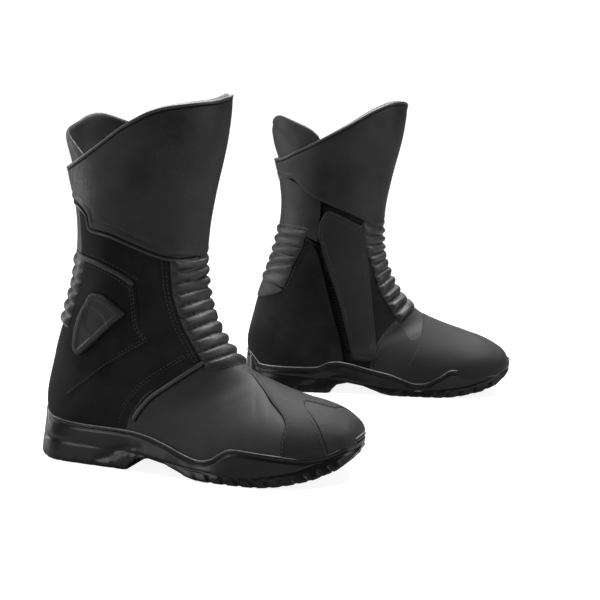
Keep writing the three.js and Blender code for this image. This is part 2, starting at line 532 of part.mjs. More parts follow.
function boot(side) {
  const base = sole();
  const skin = upper();
  const inner = lining(tabOutline);
  const closing = closure();
  const zipSet = zipParts();
  const tab = layer(liningInner + 0.4, liningOuter).intersect(prism(tabOutline, sides.both));
  const pieces = [
    ["outsole", base.outsole, rubberSole],
    ["rand", base.rand, rubberSole],
    ["insole_board", base.insole_board, boardGrey],
    ["shank", base.shank, steelGrey],
    ["footbed", base.footbed, textileBlack],
    ["foot_lining", inner.foot_lining, textileBlack],
    ["toe_puff", inner.toe_puff, boardGrey],
    ["heel_counter", inner.heel_counter, boardGrey],
    ["toe_cap", skin.foot.toe_cap, leatherOiled],
    ["shift_pad", skin.foot.shift_pad, leatherMatte],
    ["vamp", skin.foot.vamp, leatherOiled],
    ["lateral_quarter", skin.foot.lateral_quarter, leatherMatte],
    ["medial_quarter_rear", skin.foot.medial_quarter_rear, leatherMatte],
    ["medial_quarter_front", skin.foot.medial_quarter_front, leatherMatte],
    ["front_flex_ribs", skin.foot.front_flex_ribs, leatherRib],
    ["rear_flex_ribs", skin.foot.rear_flex_ribs, leatherRib],
    ["ankle_overlay", skin.foot.ankle_overlay, leatherMatte],
    ["ankle_protector", skin.foot.ankle_protector, mouldedPlate],
    ["zip_tape", zipSet.zip_tape, textileBlack],
    ["loop_strip", closing.loop_strip, textileBlack],
    ["shaft_lining", inner.shaft_lining, textileBlack],
    ["rear_collar_tab", tab, leatherMatte],
    ["calf_panel", skin.shaft.calf_panel, leatherOiled],
    ["collar_piping", collarPiping(), pipingShine],
    ["lateral_gaiter", skin.shaft.lateral_gaiter, leatherMatte],
    ["medial_gaiter", skin.shaft.medial_gaiter, leatherMatte],
    ["closure_flap", closing.cover, leatherMatte],
    ["hook_strip", closing.hook_strip, textileBlack],
    ["zip_slider", zipSet.zip_slider, zipMetal],
    ["zip_puller", zipSet.zip_puller, zipMetal],
  ];
  const group = new THREE.Group();
  for (const [name, solid, material] of pieces) {
    const mesh = new THREE.Mesh(geometryOf(mainBody(solid)), material);
    mesh.name = `${side}_${name}`;
    group.add(mesh);
  }
  return group;
}

// Pivots in the boot's own frame, kept with the model for whoever rigs it.
const outsideFlap = flap.lift + flap.thick;
const hingePoint = ([x, z]) => new THREE.Vector3(x, sideDepth(x, z) + outsideFlap, z);
const pivots = {
  ankle: { at: new THREE.Vector3(ankle.x, 0, ankle.z), axis: new THREE.Vector3(0, 1, 0) },
  flap: { at: hingePoint(flapHinge.bottom), axis: new THREE.Vector3().subVectors(hingePoint(flapHinge.bottom), hingePoint(flapHinge.top)).normalize() },
  slider: { at: zipFrame.top, axis: zipFrame.u.clone().negate() },
  puller: { at: zipFrame.at(zipParts().pin.along, 0, zipParts().pin.out), axis: zipFrame.v.clone().negate() },
};

function placed(side) {
  const { x, y, turn } = stance[side];
  const mirror = side === "left" ? -1 : 1;
  const drawn = boot(side);
  drawn.scale.y = mirror;
  drawn.position.x = -middleX;
  const stand = new THREE.Group();
  stand.add(drawn);
  stand.rotation.z = radians(turn);
  stand.position.set(x, y, 0);
  stand.userData.pivots = pivots;
  return stand;
}

const pair = new THREE.Group();
for (const side of ["right", "left"]) pair.add(placed(side));
// The frame's origin is the middle of the pair's footprint, on the ground.
const box = new THREE.Box3().setFromObject(pair, true);
for (const stand of pair.children) {
  stand.position.x -= (box.min.x + box.max.x) / 2;
  stand.position.y -= (box.min.y + box.max.y) / 2;
}

export default pair;
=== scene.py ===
import json
import math
import random

import bpy
import numpy as np
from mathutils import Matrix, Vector
from mathutils.bvhtree import BVHTree


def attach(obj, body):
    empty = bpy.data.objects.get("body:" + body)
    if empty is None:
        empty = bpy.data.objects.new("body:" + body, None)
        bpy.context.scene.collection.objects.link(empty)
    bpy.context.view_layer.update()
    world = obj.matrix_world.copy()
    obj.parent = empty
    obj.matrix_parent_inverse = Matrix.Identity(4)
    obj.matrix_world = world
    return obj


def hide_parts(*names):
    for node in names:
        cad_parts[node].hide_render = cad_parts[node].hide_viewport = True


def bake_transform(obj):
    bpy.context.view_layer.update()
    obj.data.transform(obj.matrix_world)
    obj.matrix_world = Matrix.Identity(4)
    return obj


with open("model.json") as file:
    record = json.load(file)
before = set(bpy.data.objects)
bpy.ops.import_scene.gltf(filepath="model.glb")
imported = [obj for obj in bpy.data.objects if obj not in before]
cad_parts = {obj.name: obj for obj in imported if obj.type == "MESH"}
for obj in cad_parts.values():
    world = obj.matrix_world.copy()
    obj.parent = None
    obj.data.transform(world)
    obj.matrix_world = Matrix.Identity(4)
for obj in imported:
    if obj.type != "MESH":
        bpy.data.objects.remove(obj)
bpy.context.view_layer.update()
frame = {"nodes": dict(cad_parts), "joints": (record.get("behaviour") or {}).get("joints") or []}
print("frame loaded")

mm = 0.001
sideNames = ("right", "left")
dice = random.Random(11)

# Everything is drawn once, as a right boot: x from heel to toe, y towards the other boot, z up, in mm.
# placed() then stands it in the frame, mirrored for the left one.
ankleLine = {"x": 104, "z": 167}


def jointOf(name):
    return next(j for j in frame["joints"] if j["name"] == name)


def standOf(side):
    hinge = jointOf(f"{side}_ankle_flex")
    across = np.array(hinge["axis"], float)
    turn = math.atan2(-across[0], across[1])
    ahead = np.array([math.cos(turn), math.sin(turn), 0])
    over = np.array([-math.sin(turn), math.cos(turn), 0])
    up = np.array([0.0, 0.0, 1.0])
    origin = np.array(hinge["pos_m"], float) - ahead * ankleLine["x"] * mm - up * ankleLine["z"] * mm
    return {"origin": origin, "ahead": ahead, "over": over * (-1 if side == "left" else 1), "up": up}


stands = {side: standOf(side) for side in sideNames}


def placed(points, side):
    s = stands[side]
    p = np.asarray(points, float) * mm
    return s["origin"] + p[:, :1] * s["ahead"] + p[:, 1:2] * s["over"] + p[:, 2:3] * s["up"]


# camera; the lights are added with the studio at the end
cameraSettings = {"aimAt": 120, "back": (0.122, -0.975), "height": 0.300, "down": 8.9, "lens": 66.0,
                  "sensor": 36, "reach": 20}


def addCamera():
    middle = placed([(cameraSettings["aimAt"], 0, 0)], "right")[0]
    data = bpy.data.cameras.new("camera")
    data.lens = cameraSettings["lens"]
    data.sensor_width = cameraSettings["sensor"]
    data.clip_end = cameraSettings["reach"]
    camera = bpy.data.objects.new("camera", data)
    camera.location = (middle[0] + cameraSettings["back"][0], middle[1] + cameraSettings["back"][1],
                       cameraSettings["height"])
    camera.rotation_euler = (math.radians(90 - cameraSettings["down"]), 0, 0)
    bpy.context.scene.collection.objects.link(camera)
    bpy.context.scene.camera = camera


addCamera()
print("camera set")


# small tools for lines in the side view
def hermiteWeights(t):
    # shares of start, start slope, end and end slope at t along a curved span
    return 2 * t ** 3 - 3 * t ** 2 + 1, t ** 3 - 2 * t ** 2 + t, -2 * t ** 3 + 3 * t ** 2, t ** 3 - t ** 2


def smoothLine(line, step=2.0):
    # a curve through every point of line, with a point about every step mm
    p = np.asarray(line, float)
    if len(p) < 3:
        return p
    ends = np.vstack([2 * p[0] - p[1], p, 2 * p[-1] - p[-2]])
    out = []
    for i in range(1, len(ends) - 2):
        a, b, c, d = ends[i - 1], ends[i], ends[i + 1], ends[i + 2]
        n = max(1, int(np.linalg.norm(c - b) / step))
        for k in range(n):
            h = hermiteWeights(k / n)
            out.append(h[0] * b + h[1] * ((c - a) / 2) + h[2] * c + h[3] * ((d - b) / 2))
    out.append(p[-1])
    return np.array(out)


def evenLine(line, step):
    p = np.asarray(line, float)
    run = np.r_[0, np.cumsum(np.linalg.norm(np.diff(p, axis=0), axis=1))]
    n = max(2, int(round(run[-1] / step)) + 1)
    at = np.linspace(0, run[-1], n)
    return np.column_stack([np.interp(at, run, p[:, k]) for k in range(p.shape[1])])


def shifted(line, distance):
    # a side-view line moved to its left by distance
    p = np.asarray(line, float)
    along = np.gradient(p, axis=0)
    along /= np.linalg.norm(along, axis=1)[:, None]
    return p + np.column_stack([-along[:, 1], along[:, 0]]) * distance


def smoothStep(low, high, value):
    t = np.clip((value - low) / (high - low), 0, 1)
    return t * t * (3 - 2 * t)


def segmentGap(x, z, start, end):
    # squared distance from each x, z to the straight line from start to end
    (ax, az), (bx, bz) = start, end
    dx, dz = bx - ax, bz - az
    t = np.clip(((x - ax) * dx + (z - az) * dz) / max(dx * dx + dz * dz, 1e-9), 0, 1)
    return (x - ax - t * dx) ** 2 + (z - az - t * dz) ** 2


def distanceTo(line, x, z):
    p = np.asarray(line, float)
    best = np.full(len(x), 1e9)
    for start, end in zip(p[:-1], p[1:]):
        best = np.minimum(best, segmentGap(x, z, start, end))
    return np.sqrt(best)


def outlineField(outline, x, z):
    # signed distance to a closed side-view outline, negative inside
    ring = np.asarray(outline, float)
    inside = np.zeros(len(x), bool)
    for (ax, az), (bx, bz) in zip(ring, np.roll(ring, -1, axis=0)):
        if az != bz:
            crosses = (az > z) != (bz > z)
            inside ^= crosses & (x < ax + (z - az) * (bx - ax) / (bz - az))
    return np.where(inside, -1, 1) * distanceTo(np.vstack([ring, ring[:1]]), x, z)


def joined(*lines):
    # one outline out of several lines
    return [tuple(p) for line in lines for p in line]


def ridge(distance, centre, half, rise):
    # a soft ridge, or a groove where rise is negative, at a distance from a line
    return rise * np.exp(-((distance - centre) / half) ** 2)


# the last: stations from the collar to the toe, each with its ends in the side view and its half widths
lastStations = [
    # front x, z, back x, z, lateral, medial, square, heart, aside
    (185, 345, 22, 345, 56, 56, 2, 0, 0),
    (177, 292, 30, 288, 56, 55.5, 2, 0, 0),
    (165, 243, 41, 242, 53.5, 52.5, 2, 0, 0),
    (157, 196, 42, 200, 47.5, 47, 2, 0, 0),
    (158, 160, 35, 166, 44, 44.5, 2, 0, 0),
    (167, 130, 23, 132, 41, 43.2, 2, 0, 0),
    (178, 111, 10, 94, 39, 42.3, 2, 0, 0),
    (194, 95.5, 2, 44, 37.5, 41, 2.5, 0, 0),
    (206, 87, 14, 13, 37.5, 39, 3.2, -0.05, 0),
    (221, 80, 90, 11, 40, 40.5, 4, -0.12, 0),
    (240, 72.5, 185, 3, 49, 46.5, 4, -0.25, 0),
    (255, 67.5, 230, 5.5, 49, 46, 3.6, -0.25, 1),
    (271, 63, 263, 12, 43, 41.5, 3, -0.18, 4),
    (287, 56, 288, 21.5, 31.5, 31, 2.4, -0.1, 6.5),
    (298.5, 47, 301, 29, 19.5, 19.5, 2.2, 0, 7.5),
    (303.5, 38, 304, 36.5, 3, 3, 2, 0, 8),
]
lastSettings = {"around": 264, "step": 1.35, "underShare": 0.6, "pace": 1.6}


def buildLast():
    table = np.array(lastStations, float)
    ends = (np.linalg.norm(np.diff(table[:, 0:2], axis=0), axis=1)
            + np.linalg.norm(np.diff(table[:, 2:4], axis=0), axis=1) * lastSettings["underShare"])
    knots = np.r_[0, np.cumsum(ends / lastSettings["pace"])]
    slopes = np.gradient(table, knots, axis=0)
    rows = []
    for i in range(len(knots) - 1):
        span = knots[i + 1] - knots[i]
        n = max(2, int(span / lastSettings["step"]))
        for k in range(n):
            h = hermiteWeights(k / n)
            rows.append(h[0] * table[i] + h[1] * span * slopes[i]
                        + h[2] * table[i + 1] + h[3] * span * slopes[i + 1])
    rows.append(table[-1])
    rows = np.array(rows)
    angle = np.arange(lastSettings["around"]) / lastSettings["around"] * 2 * math.pi
    c, s = np.cos(angle)[None, :], np.sin(angle)[None, :]
    fx, fz, bx, bz, lateral, medial, square, heart, aside = [rows[:, k:k + 1] for k in range(9)]
    power = np.where(c >= 0, 1.0, 2 / np.maximum(square, 2))
    along = np.where(c >= 0, heart + (1 - heart) * c, heart - (1 + heart) * np.abs(c) ** power)
    across = np.sign(s) * np.abs(s) ** power * np.where(s > 0, medial, lateral) + aside
    share = (along + 1) / 2
    points = np.stack([bx + (fx - bx) * share, across, bz + (fz - bz) * share], axis=2)
    down = np.gradient(points, axis=0)
    aroundLeg = (np.roll(points, -1, axis=1) - np.roll(points, 1, axis=1)) / 2
    normals = np.cross(down, aroundLeg)
    normals /= np.maximum(np.linalg.norm(normals, axis=2, keepdims=True), 1e-9)
    return points, normals


lastPoints, lastNormals = buildLast()
rowCount, aroundCount = lastPoints.shape[:2]


def gridFaces(rows, around, closed=True):
    i, j = np.meshgrid(np.arange(rows - 1), np.arange(around if closed else around - 1), indexing="ij")
    k = (j + 1) % around
    a, b, c, d = i * around + j, (i + 1) * around + j, (i + 1) * around + k, i * around + k
    return np.concatenate([np.stack([a, b, c], -1).reshape(-1, 3), np.stack([a, c, d], -1).reshape(-1, 3)])


lastSkin = np.concatenate([lastPoints.reshape(-1, 3), lastNormals.reshape(-1, 3)], axis=1)
lastFaces = gridFaces(rowCount, aroundCount)
lastTree = BVHTree.FromPolygons([tuple(p) for p in lastSkin[:, :3]], [tuple(f) for f in lastFaces])
print("last drawn:", len(lastSkin), "points")


lateralSide, medialSide = -1, 1


def onLast(x, z, side):
    # the point of the upper's surface that the side view shows at x, z, or the nearest one beside it
    for reach in (0, -0.7, 0.7, -1.5, 1.5, -3, 3, -5, 5):
        start = Vector((x + reach, side * 200, z))
        hit, normal, _, _ = lastTree.ray_cast(start, Vector((0, -side, 0)))
        if hit is not None:
            if normal.y * side < 0:
                normal = -normal
            return np.array(hit), np.array(normal)
    hit, normal, _, _ = lastTree.find_nearest(Vector((x, side * 20, z)))
    return np.array(hit), np.array(normal)


def trace(line, side, lift=0.0, step=2.0):
    flat = evenLine(line, step)
    hits = [onLast(x, z, side) for x, z in flat]
    points = np.array([h for h, _ in hits])
    normals = np.array([n for _, n in hits])
    for _ in range(2):
        normals[1:-1] = (normals[:-2] + normals[1:-1] * 2 + normals[2:]) / 4
    normals /= np.linalg.norm(normals, axis=1)[:, None]
    return points + normals * lift, normals


# cutting pieces out of the last's surface along the zero line of a field
def splitMesh(skin, faces, value, keepInside=True, keepOutside=False):
    inside = value < 0
    count = inside[faces].sum(axis=1)
    kept = [faces[count == 3]] if keepInside else []
    if keepOutside:
        kept.append(faces[count == 0])
    mixed = faces[(count > 0) & (count < 3)]
    if not len(mixed):
        return skin, np.concatenate(kept) if kept else faces[:0]
    # turn each mixed face so that its lone corner comes first
    lone = inside[mixed].sum(axis=1) == 1
    want = np.where(lone[:, None], inside[mixed], ~inside[mixed])
    first = want.argmax(axis=1)
    order = (first[:, None] + np.arange(3)) % 3
    mixed = np.take_along_axis(mixed, order, axis=1)
    a, b, c = mixed.T
    pairs = np.concatenate([np.stack([a, b], 1), np.stack([a, c], 1)])
    low = np.sort(pairs, axis=1)
    unique, where = np.unique(low[:, 0].astype(np.int64) * (len(skin) + 1) + low[:, 1], return_inverse=True)
    p, q = unique // (len(skin) + 1), unique % (len(skin) + 1)
    t = np.clip(value[p] / (value[p] - value[q]), 0.02, 0.98)[:, None]
    fresh = skin[p] * (1 - t) + skin[q] * t
    new = len(skin) + where
    ab, ac = new[:len(mixed)], new[len(mixed):]
    corner = np.stack([a, ab, ac], 1)
    rest = np.concatenate([np.stack([ab, b, c], 1), np.stack([ab, c, ac], 1)])
    loneTwice = np.concatenate([lone, lone])
    if keepInside:
        kept += [corner[lone], rest[~loneTwice]]
    if keepOutside:
        kept += [corner[~lone], rest[loneTwice]]
    return np.concatenate([skin, fresh]), np.concatenate(kept)


def compact(skin, faces):
    used, index = np.unique(faces, return_inverse=True)
    return skin[used], index.reshape(-1, 3), used


def regionField(region, points):
    # a region has an outline for one side of the boot, or for both with a soft change between them
    x, y, z = points.T
    lateral, medial = region.get("lateral"), region.get("medial")
    if lateral is None:
        return np.maximum(outlineField(medial, x, z), -y)
    if medial is None:
        return np.maximum(outlineField(lateral, x, z), region.get("from", 0) + y)
    spread = region.get("spread", 7)
    w = smoothStep(-spread, spread, y)
    return outlineField(lateral, x, z) * (1 - w) + outlineField(medial, x, z) * w


waveCount = 18
waveRolls = [(np.array([dice.gauss(0, 1), dice.gauss(0, 1), dice.gauss(0, 1)]), dice.random() * 6.28)
             for _ in range(waveCount)]


def softWaves(points, length):
    # smooth unevenness of hand-lasted leather, about -1 to 1
    total = np.zeros(len(points))
    for k, phase in waveRolls:
        total += np.sin(points @ (k / length * 2.2) + phase)
    return total / 5


cutSettings = {"margin": 30, "waveFade": 6, "pillowWaves": 24.0}


def cutSkin(region, depths):
    # the last's skin inside a region, with extra edge loops at these depths from its edge
    value = regionField(region, lastSkin[:, :3])
    pick = (value < cutSettings["margin"])[lastFaces].all(axis=1)
    skin, faces, used = compact(lastSkin, lastFaces[pick])
    skin, faces = splitMesh(skin, faces, value[used])
    skin, faces, _ = compact(skin, faces)
    for depth in depths:
        skin, faces = splitMesh(skin, faces, regionField(region, skin[:, :3]) + depth, True, True)
    skin, faces, _ = compact(skin, faces)
    points, normals = skin[:, :3], skin[:, 3:]
    normals = normals / np.linalg.norm(normals, axis=1)[:, None]
    return points, normals, faces, -regionField(region, points)


def openEdges(faces, count):
    # the edges that only one face has, in that face's direction
    directed = np.concatenate([faces[:, [0, 1]], faces[:, [1, 2]], faces[:, [2, 0]]])
    low = np.sort(directed, axis=1)
    _, index, times = np.unique(low[:, 0].astype(np.int64) * count + low[:, 1], return_index=True,
                                return_counts=True)
    return directed[index[times == 1]]


def cutPanel(region, level, thick, roll=1.1, puff=0.0, puffReach=14.0, waves=0.25, waveLength=26.0,
             height=None, skirt=2.2, scores=()):
    # a sewn panel: cut out, raised by its thickness, edges rolled down and closed with a skirt
    points, normals, faces, inset = cutSkin(region, (roll * 0.3, roll, *scores))
    near = np.clip(inset / roll, 0, 1)
    rise = thick * np.sqrt(1 - (1 - near) ** 2)
    rise = rise + puff * np.sqrt(1 - (1 - np.clip(inset / puffReach, 0, 1)) ** 2)
    rise = rise + waves * softWaves(points, waveLength) * np.clip(inset / cutSettings["waveFade"], 0, 1)
    if height is not None:
        rise = rise + height(points, inset)
    top = points + normals * (level + rise)[:, None]
    edges = openEdges(faces, len(points))
    rim, where = np.unique(edges, return_inverse=True)
    low = points[rim] + normals[rim] * (level - skirt)
    where = where.reshape(-1, 2) + len(top)
    a, b = edges[:, 0], edges[:, 1]
    c, d = where[:, 1], where[:, 0]
    faces = np.concatenate([faces, np.stack([b, a, d], 1), np.stack([b, d, c], 1)])
    return np.concatenate([top, low]), faces


def cutPillow(region, level, half, roll=2.5, waves=0.2, height=None):
    # a padded or cut piece closed on both sides
    points, normals, faces, inset = cutSkin(region, (roll * 0.12, roll * 0.4, roll))
    edge = inset < 0.02
    rise = half * np.sqrt(1 - (1 - np.clip(inset / roll, 0, 1)) ** 2)
    extra = waves * softWaves(points, cutSettings["pillowWaves"])
    extra = extra * np.clip(inset / cutSettings["waveFade"], 0, 1)
    outer = extra + (height(points, inset) if height is not None else 0)
    top = points + normals * (level + rise + outer)[:, None]
    bottom = points + normals * (level - rise + extra)[:, None]
    count = len(points)
    back = np.where(edge, np.arange(count), np.arange(count) + count)
    both = np.concatenate([faces, back[faces][:, ::-1]])
    allPoints = np.concatenate([top, bottom])
    used, index = np.unique(both, return_inverse=True)
    return allPoints[used], index.reshape(-1, 3)


def sweep(points, normals, halfWide, halfHigh, sides, closed=False):
    # a cord or bar of oval section along points, lying against the surface with the given normals
    p = np.asarray(points, float)
    n = np.asarray(normals, float)
    if closed:
        along = np.roll(p, -1, axis=0) - np.roll(p, 1, axis=0)
    else:
        along = np.gradient(p, axis=0)
    along /= np.linalg.norm(along, axis=1)[:, None]
    n = n - along * (n * along).sum(axis=1)[:, None]
    n /= np.linalg.norm(n, axis=1)[:, None]
    across = np.cross(along, n)
    count = len(p)
    wide = np.full(count, float(halfWide))
    high = np.full(count, float(halfHigh))
    if not closed:
        toEnd = np.clip(np.minimum(np.arange(count), np.arange(count)[::-1]) / 2.0, 0, 1)
        ends = np.sqrt(np.clip(1 - (1 - toEnd) ** 2, 0.04, 1))
        wide, high = wide * ends, high * ends
    angle = np.arange(sides) / sides * 2 * math.pi
    ring = (p[:, None] + across[:, None] * (wide[:, None] * np.cos(angle))[..., None]
            + n[:, None] * (high[:, None] * np.sin(angle))[..., None])
    verts = ring.reshape(-1, 3)
    faces = gridFaces(count, sides)
    if closed:
        j = np.arange(sides)
        k = (j + 1) % sides
        last = (count - 1) * sides
        faces = np.concatenate([faces, np.stack([last + j, j, k], 1), np.stack([last + j, k, last + k], 1)])
    else:
        caps = []
        for start, flip in ((0, False), ((count - 1) * sides, True)):
            for j in range(1, sides - 1):
                tri = [start, start + j + 1, start + j]
                caps.append(tri if flip else tri[::-1])
        faces = np.concatenate([faces, np.array(caps)])
    return verts, faces[:, ::-1]


def merged(parts):
    verts, faces, start = [], [], 0
    for v, f in parts:
        verts.append(v)
        faces.append(f + start)
        start += len(v)
    return np.concatenate(verts), np.concatenate(faces)


# objects
def meshObject(name, verts, faces, material, smooth=True):
    mesh = bpy.data.meshes.new(name)
    mesh.vertices.add(len(verts))
    mesh.vertices.foreach_set("co", np.asarray(verts, np.float32).ravel())
    sizes = faces.shape[1]
    mesh.loops.add(len(faces) * sizes)
    mesh.loops.foreach_set("vertex_index", faces.astype(np.int32).ravel())
    mesh.polygons.add(len(faces))
    mesh.polygons.foreach_set("loop_start", (np.arange(len(faces)) * sizes).astype(np.int32))
    mesh.update(calc_edges=True)
    mesh.validate()
    if smooth:
        mesh.shade_smooth()
    else:
        mesh.shade_flat()
    mesh.materials.append(material)
    made = bpy.data.objects.new(name, mesh)
    bpy.context.scene.collection.objects.link(made)
    return made


def addPiece(name, shape, finish, replaced=(), body="bend", smooth=True):
    # stands the drawn piece in both boots
    # body is foot, shaft, flap, slider or puller, or bend for leather across the ankle
    verts, faces = shape
    made = []
    for side in sideNames:
        turned = faces if side == "right" else faces[:, ::-1]
        piece = meshObject(f"{side}_{name}_look", placed(verts, side), turned, materials[finish], smooth)
        if body == "bend":
            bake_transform(piece)
        else:
            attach(piece, f"{side}_{body}")
        if replaced:
            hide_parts(*[f"{side}_{node}" for node in replaced])
        made.append(piece)
    print("piece", name, len(verts))
    return made


def addCord(name, line, lift, half, sides, finish, body="bend"):
    # a cord or seam lying along a line on the boot's outer side
    points, normals = trace(line, lateralSide, lift)
    addPiece(name, sweep(points, normals, *half, sides), finish, body=body)


# shader groups
def newGroup(name, inputs, outputs):
    group = bpy.data.node_groups.new(name, "ShaderNodeTree")
    for socketName, kind, value in inputs:
        socket = group.interface.new_socket(name=socketName, in_out="INPUT", socket_type=kind)
        socket.default_value = value
    for socketName, kind in outputs:
        group.interface.new_socket(name=socketName, in_out="OUTPUT", socket_type=kind)
    nodes = group.nodes
    start = nodes.new("NodeGroupInput")
    end = nodes.new("NodeGroupOutput")
    return group, nodes, group.links, start, end


def mathNode(nodes, links, operation, a, b=None, clamp=False):
    node = nodes.new("ShaderNodeMath")
    node.operation = operation
    node.use_clamp = clamp
    for i, v in enumerate((a, b)):
        if v is None:
            continue
        if isinstance(v, (int, float)):
            node.inputs[i].default_value = v
        else:
            links.new(v, node.inputs[i])
    return node.outputs[0]


def noiseNode(nodes, links, vector, scale, detail=3.0, roughness=0.55):
    node = nodes.new("ShaderNodeTexNoise")
    node.inputs["Detail"].default_value = detail
    node.inputs["Roughness"].default_value = roughness
    links.new(vector, node.inputs["Vector"])
    if isinstance(scale, (int, float)):
        node.inputs["Scale"].default_value = scale
    else:
        links.new(scale, node.inputs["Scale"])
    return node.outputs["Fac"]


def buildGrainGroup():
    # pebbled leather: cells with soft valleys, fine pores and slow swelling
    group, nodes, links, start, end = newGroup(
        "leather grain", [("Scale", "NodeSocketFloat", 900.0), ("Pores", "NodeSocketFloat", 0.35)],
        [("Height", "NodeSocketFloat"), ("Valleys", "NodeSocketFloat")])
    place = nodes.new("ShaderNodeTexCoord").outputs["Object"]
    cells = nodes.new("ShaderNodeTexVoronoi")
    cells.feature = "SMOOTH_F1"
    cells.inputs["Smoothness"].default_value = 0.35
    links.new(place, cells.inputs["Vector"])
    links.new(start.outputs["Scale"], cells.inputs["Scale"])
    domes = mathNode(nodes, links, "SUBTRACT", 1.0, cells.outputs["Distance"])
    fineScale = mathNode(nodes, links, "MULTIPLY", start.outputs["Scale"], 2.7)
    pores = noiseNode(nodes, links, place, fineScale, 2.0)
    pores = mathNode(nodes, links, "MULTIPLY", pores, start.outputs["Pores"])
    swell = noiseNode(nodes, links, place, 60.0, 4.0)
    height = mathNode(nodes, links, "ADD", domes, pores)
    height = mathNode(nodes, links, "ADD", height, mathNode(nodes, links, "MULTIPLY", swell, 0.9))
    links.new(height, end.inputs["Height"])
    valleys = mathNode(nodes, links, "POWER", cells.outputs["Distance"], 2.0, True)
    links.new(valleys, end.inputs["Valleys"])
    return group


def buildWearGroup():
    # handling marks: broad lighter patches and faint scuffs
    group, nodes, links, start, end = newGroup(
        "wear", [("Patches", "NodeSocketFloat", 0.5), ("Scuffs", "NodeSocketFloat", 0.4)],
        [("Mask", "NodeSocketFloat"), ("Rough", "NodeSocketFloat")])
    place = nodes.new("ShaderNodeTexCoord").outputs["Object"]
    broad = noiseNode(nodes, links, place, 22.0, 4.0)
    broad = mathNode(nodes, links, "SUBTRACT", broad, 0.36)
    broad = mathNode(nodes, links, "MULTIPLY", broad, 2.6, True)
    stretched = nodes.new("ShaderNodeMapping")
    stretched.inputs["Scale"].default_value = (1.0, 1.0, 5.0)
    stretched.inputs["Rotation"].default_value = (0.5, 0.3, 0.4)
    links.new(place, stretched.inputs["Vector"])
    lines = noiseNode(nodes, links, stretched.outputs["Vector"], 120.0, 6.0, 0.7)
    lines = mathNode(nodes, links, "SUBTRACT", lines, 0.56)
    lines = mathNode(nodes, links, "MULTIPLY", lines, 5.0, True)
    patches = mathNode(nodes, links, "MULTIPLY", broad, start.outputs["Patches"])
    scuffs = mathNode(nodes, links, "MULTIPLY", lines, start.outputs["Scuffs"])
    mask = mathNode(nodes, links, "ADD", patches, scuffs, True)
    links.new(mask, end.inputs["Mask"])
    fine = noiseNode(nodes, links, place, 400.0, 3.0)
    rough = mathNode(nodes, links, "ADD", mathNode(nodes, links, "MULTIPLY", fine, 0.5),
                     mathNode(nodes, links, "MULTIPLY", broad, 0.5))
    links.new(rough, end.inputs["Rough"])
    return group


def buildWeaveGroup():
    # two crossing threads
    group, nodes, links, start, end = newGroup(
        "weave", [("Scale", "NodeSocketFloat", 900.0)],
        [("Height", "NodeSocketFloat"), ("Tone", "NodeSocketFloat")])
    place = nodes.new("ShaderNodeTexCoord").outputs["Object"]
    waves = []
    for axis in ("X", "Z"):
        wave = nodes.new("ShaderNodeTexWave")
        wave.wave_type = "BANDS"
        wave.bands_direction = axis
        wave.inputs["Distortion"].default_value = 0.4
        links.new(place, wave.inputs["Vector"])
        links.new(start.outputs["Scale"], wave.inputs["Scale"])
        waves.append(wave.outputs["Fac"])
    height = mathNode(nodes, links, "MAXIMUM", waves[0], waves[1])
    links.new(height, end.inputs["Height"])
    links.new(noiseNode(nodes, links, place, 90.0, 3.0), end.inputs["Tone"])
    return group


grainGroup = buildGrainGroup()
wearGroup = buildWearGroup()
weaveGroup = buildWeaveGroup()


def newMaterial(name):
    material = bpy.data.materials.new(name)
    material.use_nodes = True
    tree = material.node_tree
    return material, tree.nodes, tree.links, tree.nodes["Principled BSDF"]


def mixColor(nodes, links, mask, dark, light):
    node = nodes.new("ShaderNodeMix")
    node.data_type = "RGBA"
    node.inputs["A"].default_value = (*dark, 1)
    node.inputs["B"].default_value = (*light, 1)
    links.new(mask, node.inputs["Factor"])
    return node.outputs["Result"]


def addBump(nodes, links, shader, height, strength, distance):
    bump = nodes.new("ShaderNodeBump")
    bump.inputs["Strength"].default_value = strength
    bump.inputs["Distance"].default_value = distance
    links.new(height, bump.inputs["Height"])
    links.new(bump.outputs["Normal"], shader.inputs["Normal"])


def wornShader(name, look):
    # base colour and roughness led by the wear group, for leather and moulded parts alike
    material, nodes, links, shader = newMaterial(name)
    wear = nodes.new("ShaderNodeGroup")
    wear.node_tree = wearGroup
    wear.inputs["Patches"].default_value = look["patches"]
    wear.inputs["Scuffs"].default_value = look["scuffs"]
    worn = mixColor(nodes, links, wear.outputs["Mask"], look["dark"], look["light"])
    links.new(worn, shader.inputs["Base Color"])
    spread = nodes.new("ShaderNodeMapRange")
    spread.inputs["To Min"].default_value, spread.inputs["To Max"].default_value = look["rough"]
    links.new(wear.outputs["Rough"], spread.inputs["Value"])
    links.new(spread.outputs["Result"], shader.inputs["Roughness"])
    shader.inputs["Specular IOR Level"].default_value = look["specular"]
    return material, nodes, links, shader


def leatherMaterial(name, look):
    material, nodes, links, shader = wornShader(name, look)
    grain = nodes.new("ShaderNodeGroup")
    grain.node_tree = grainGroup
    grain.inputs["Scale"].default_value = look["grainScale"]
    grain.inputs["Pores"].default_value = look["pores"]
    shader.inputs["Sheen Weight"].default_value = look["sheen"]
    shader.inputs["Sheen Roughness"].default_value = 0.6
    shader.inputs["Sheen Tint"].default_value = (0.8, 0.8, 0.82, 1)
    addBump(nodes, links, shader, grain.outputs["Height"], look["bump"], look["depth"])
    return material


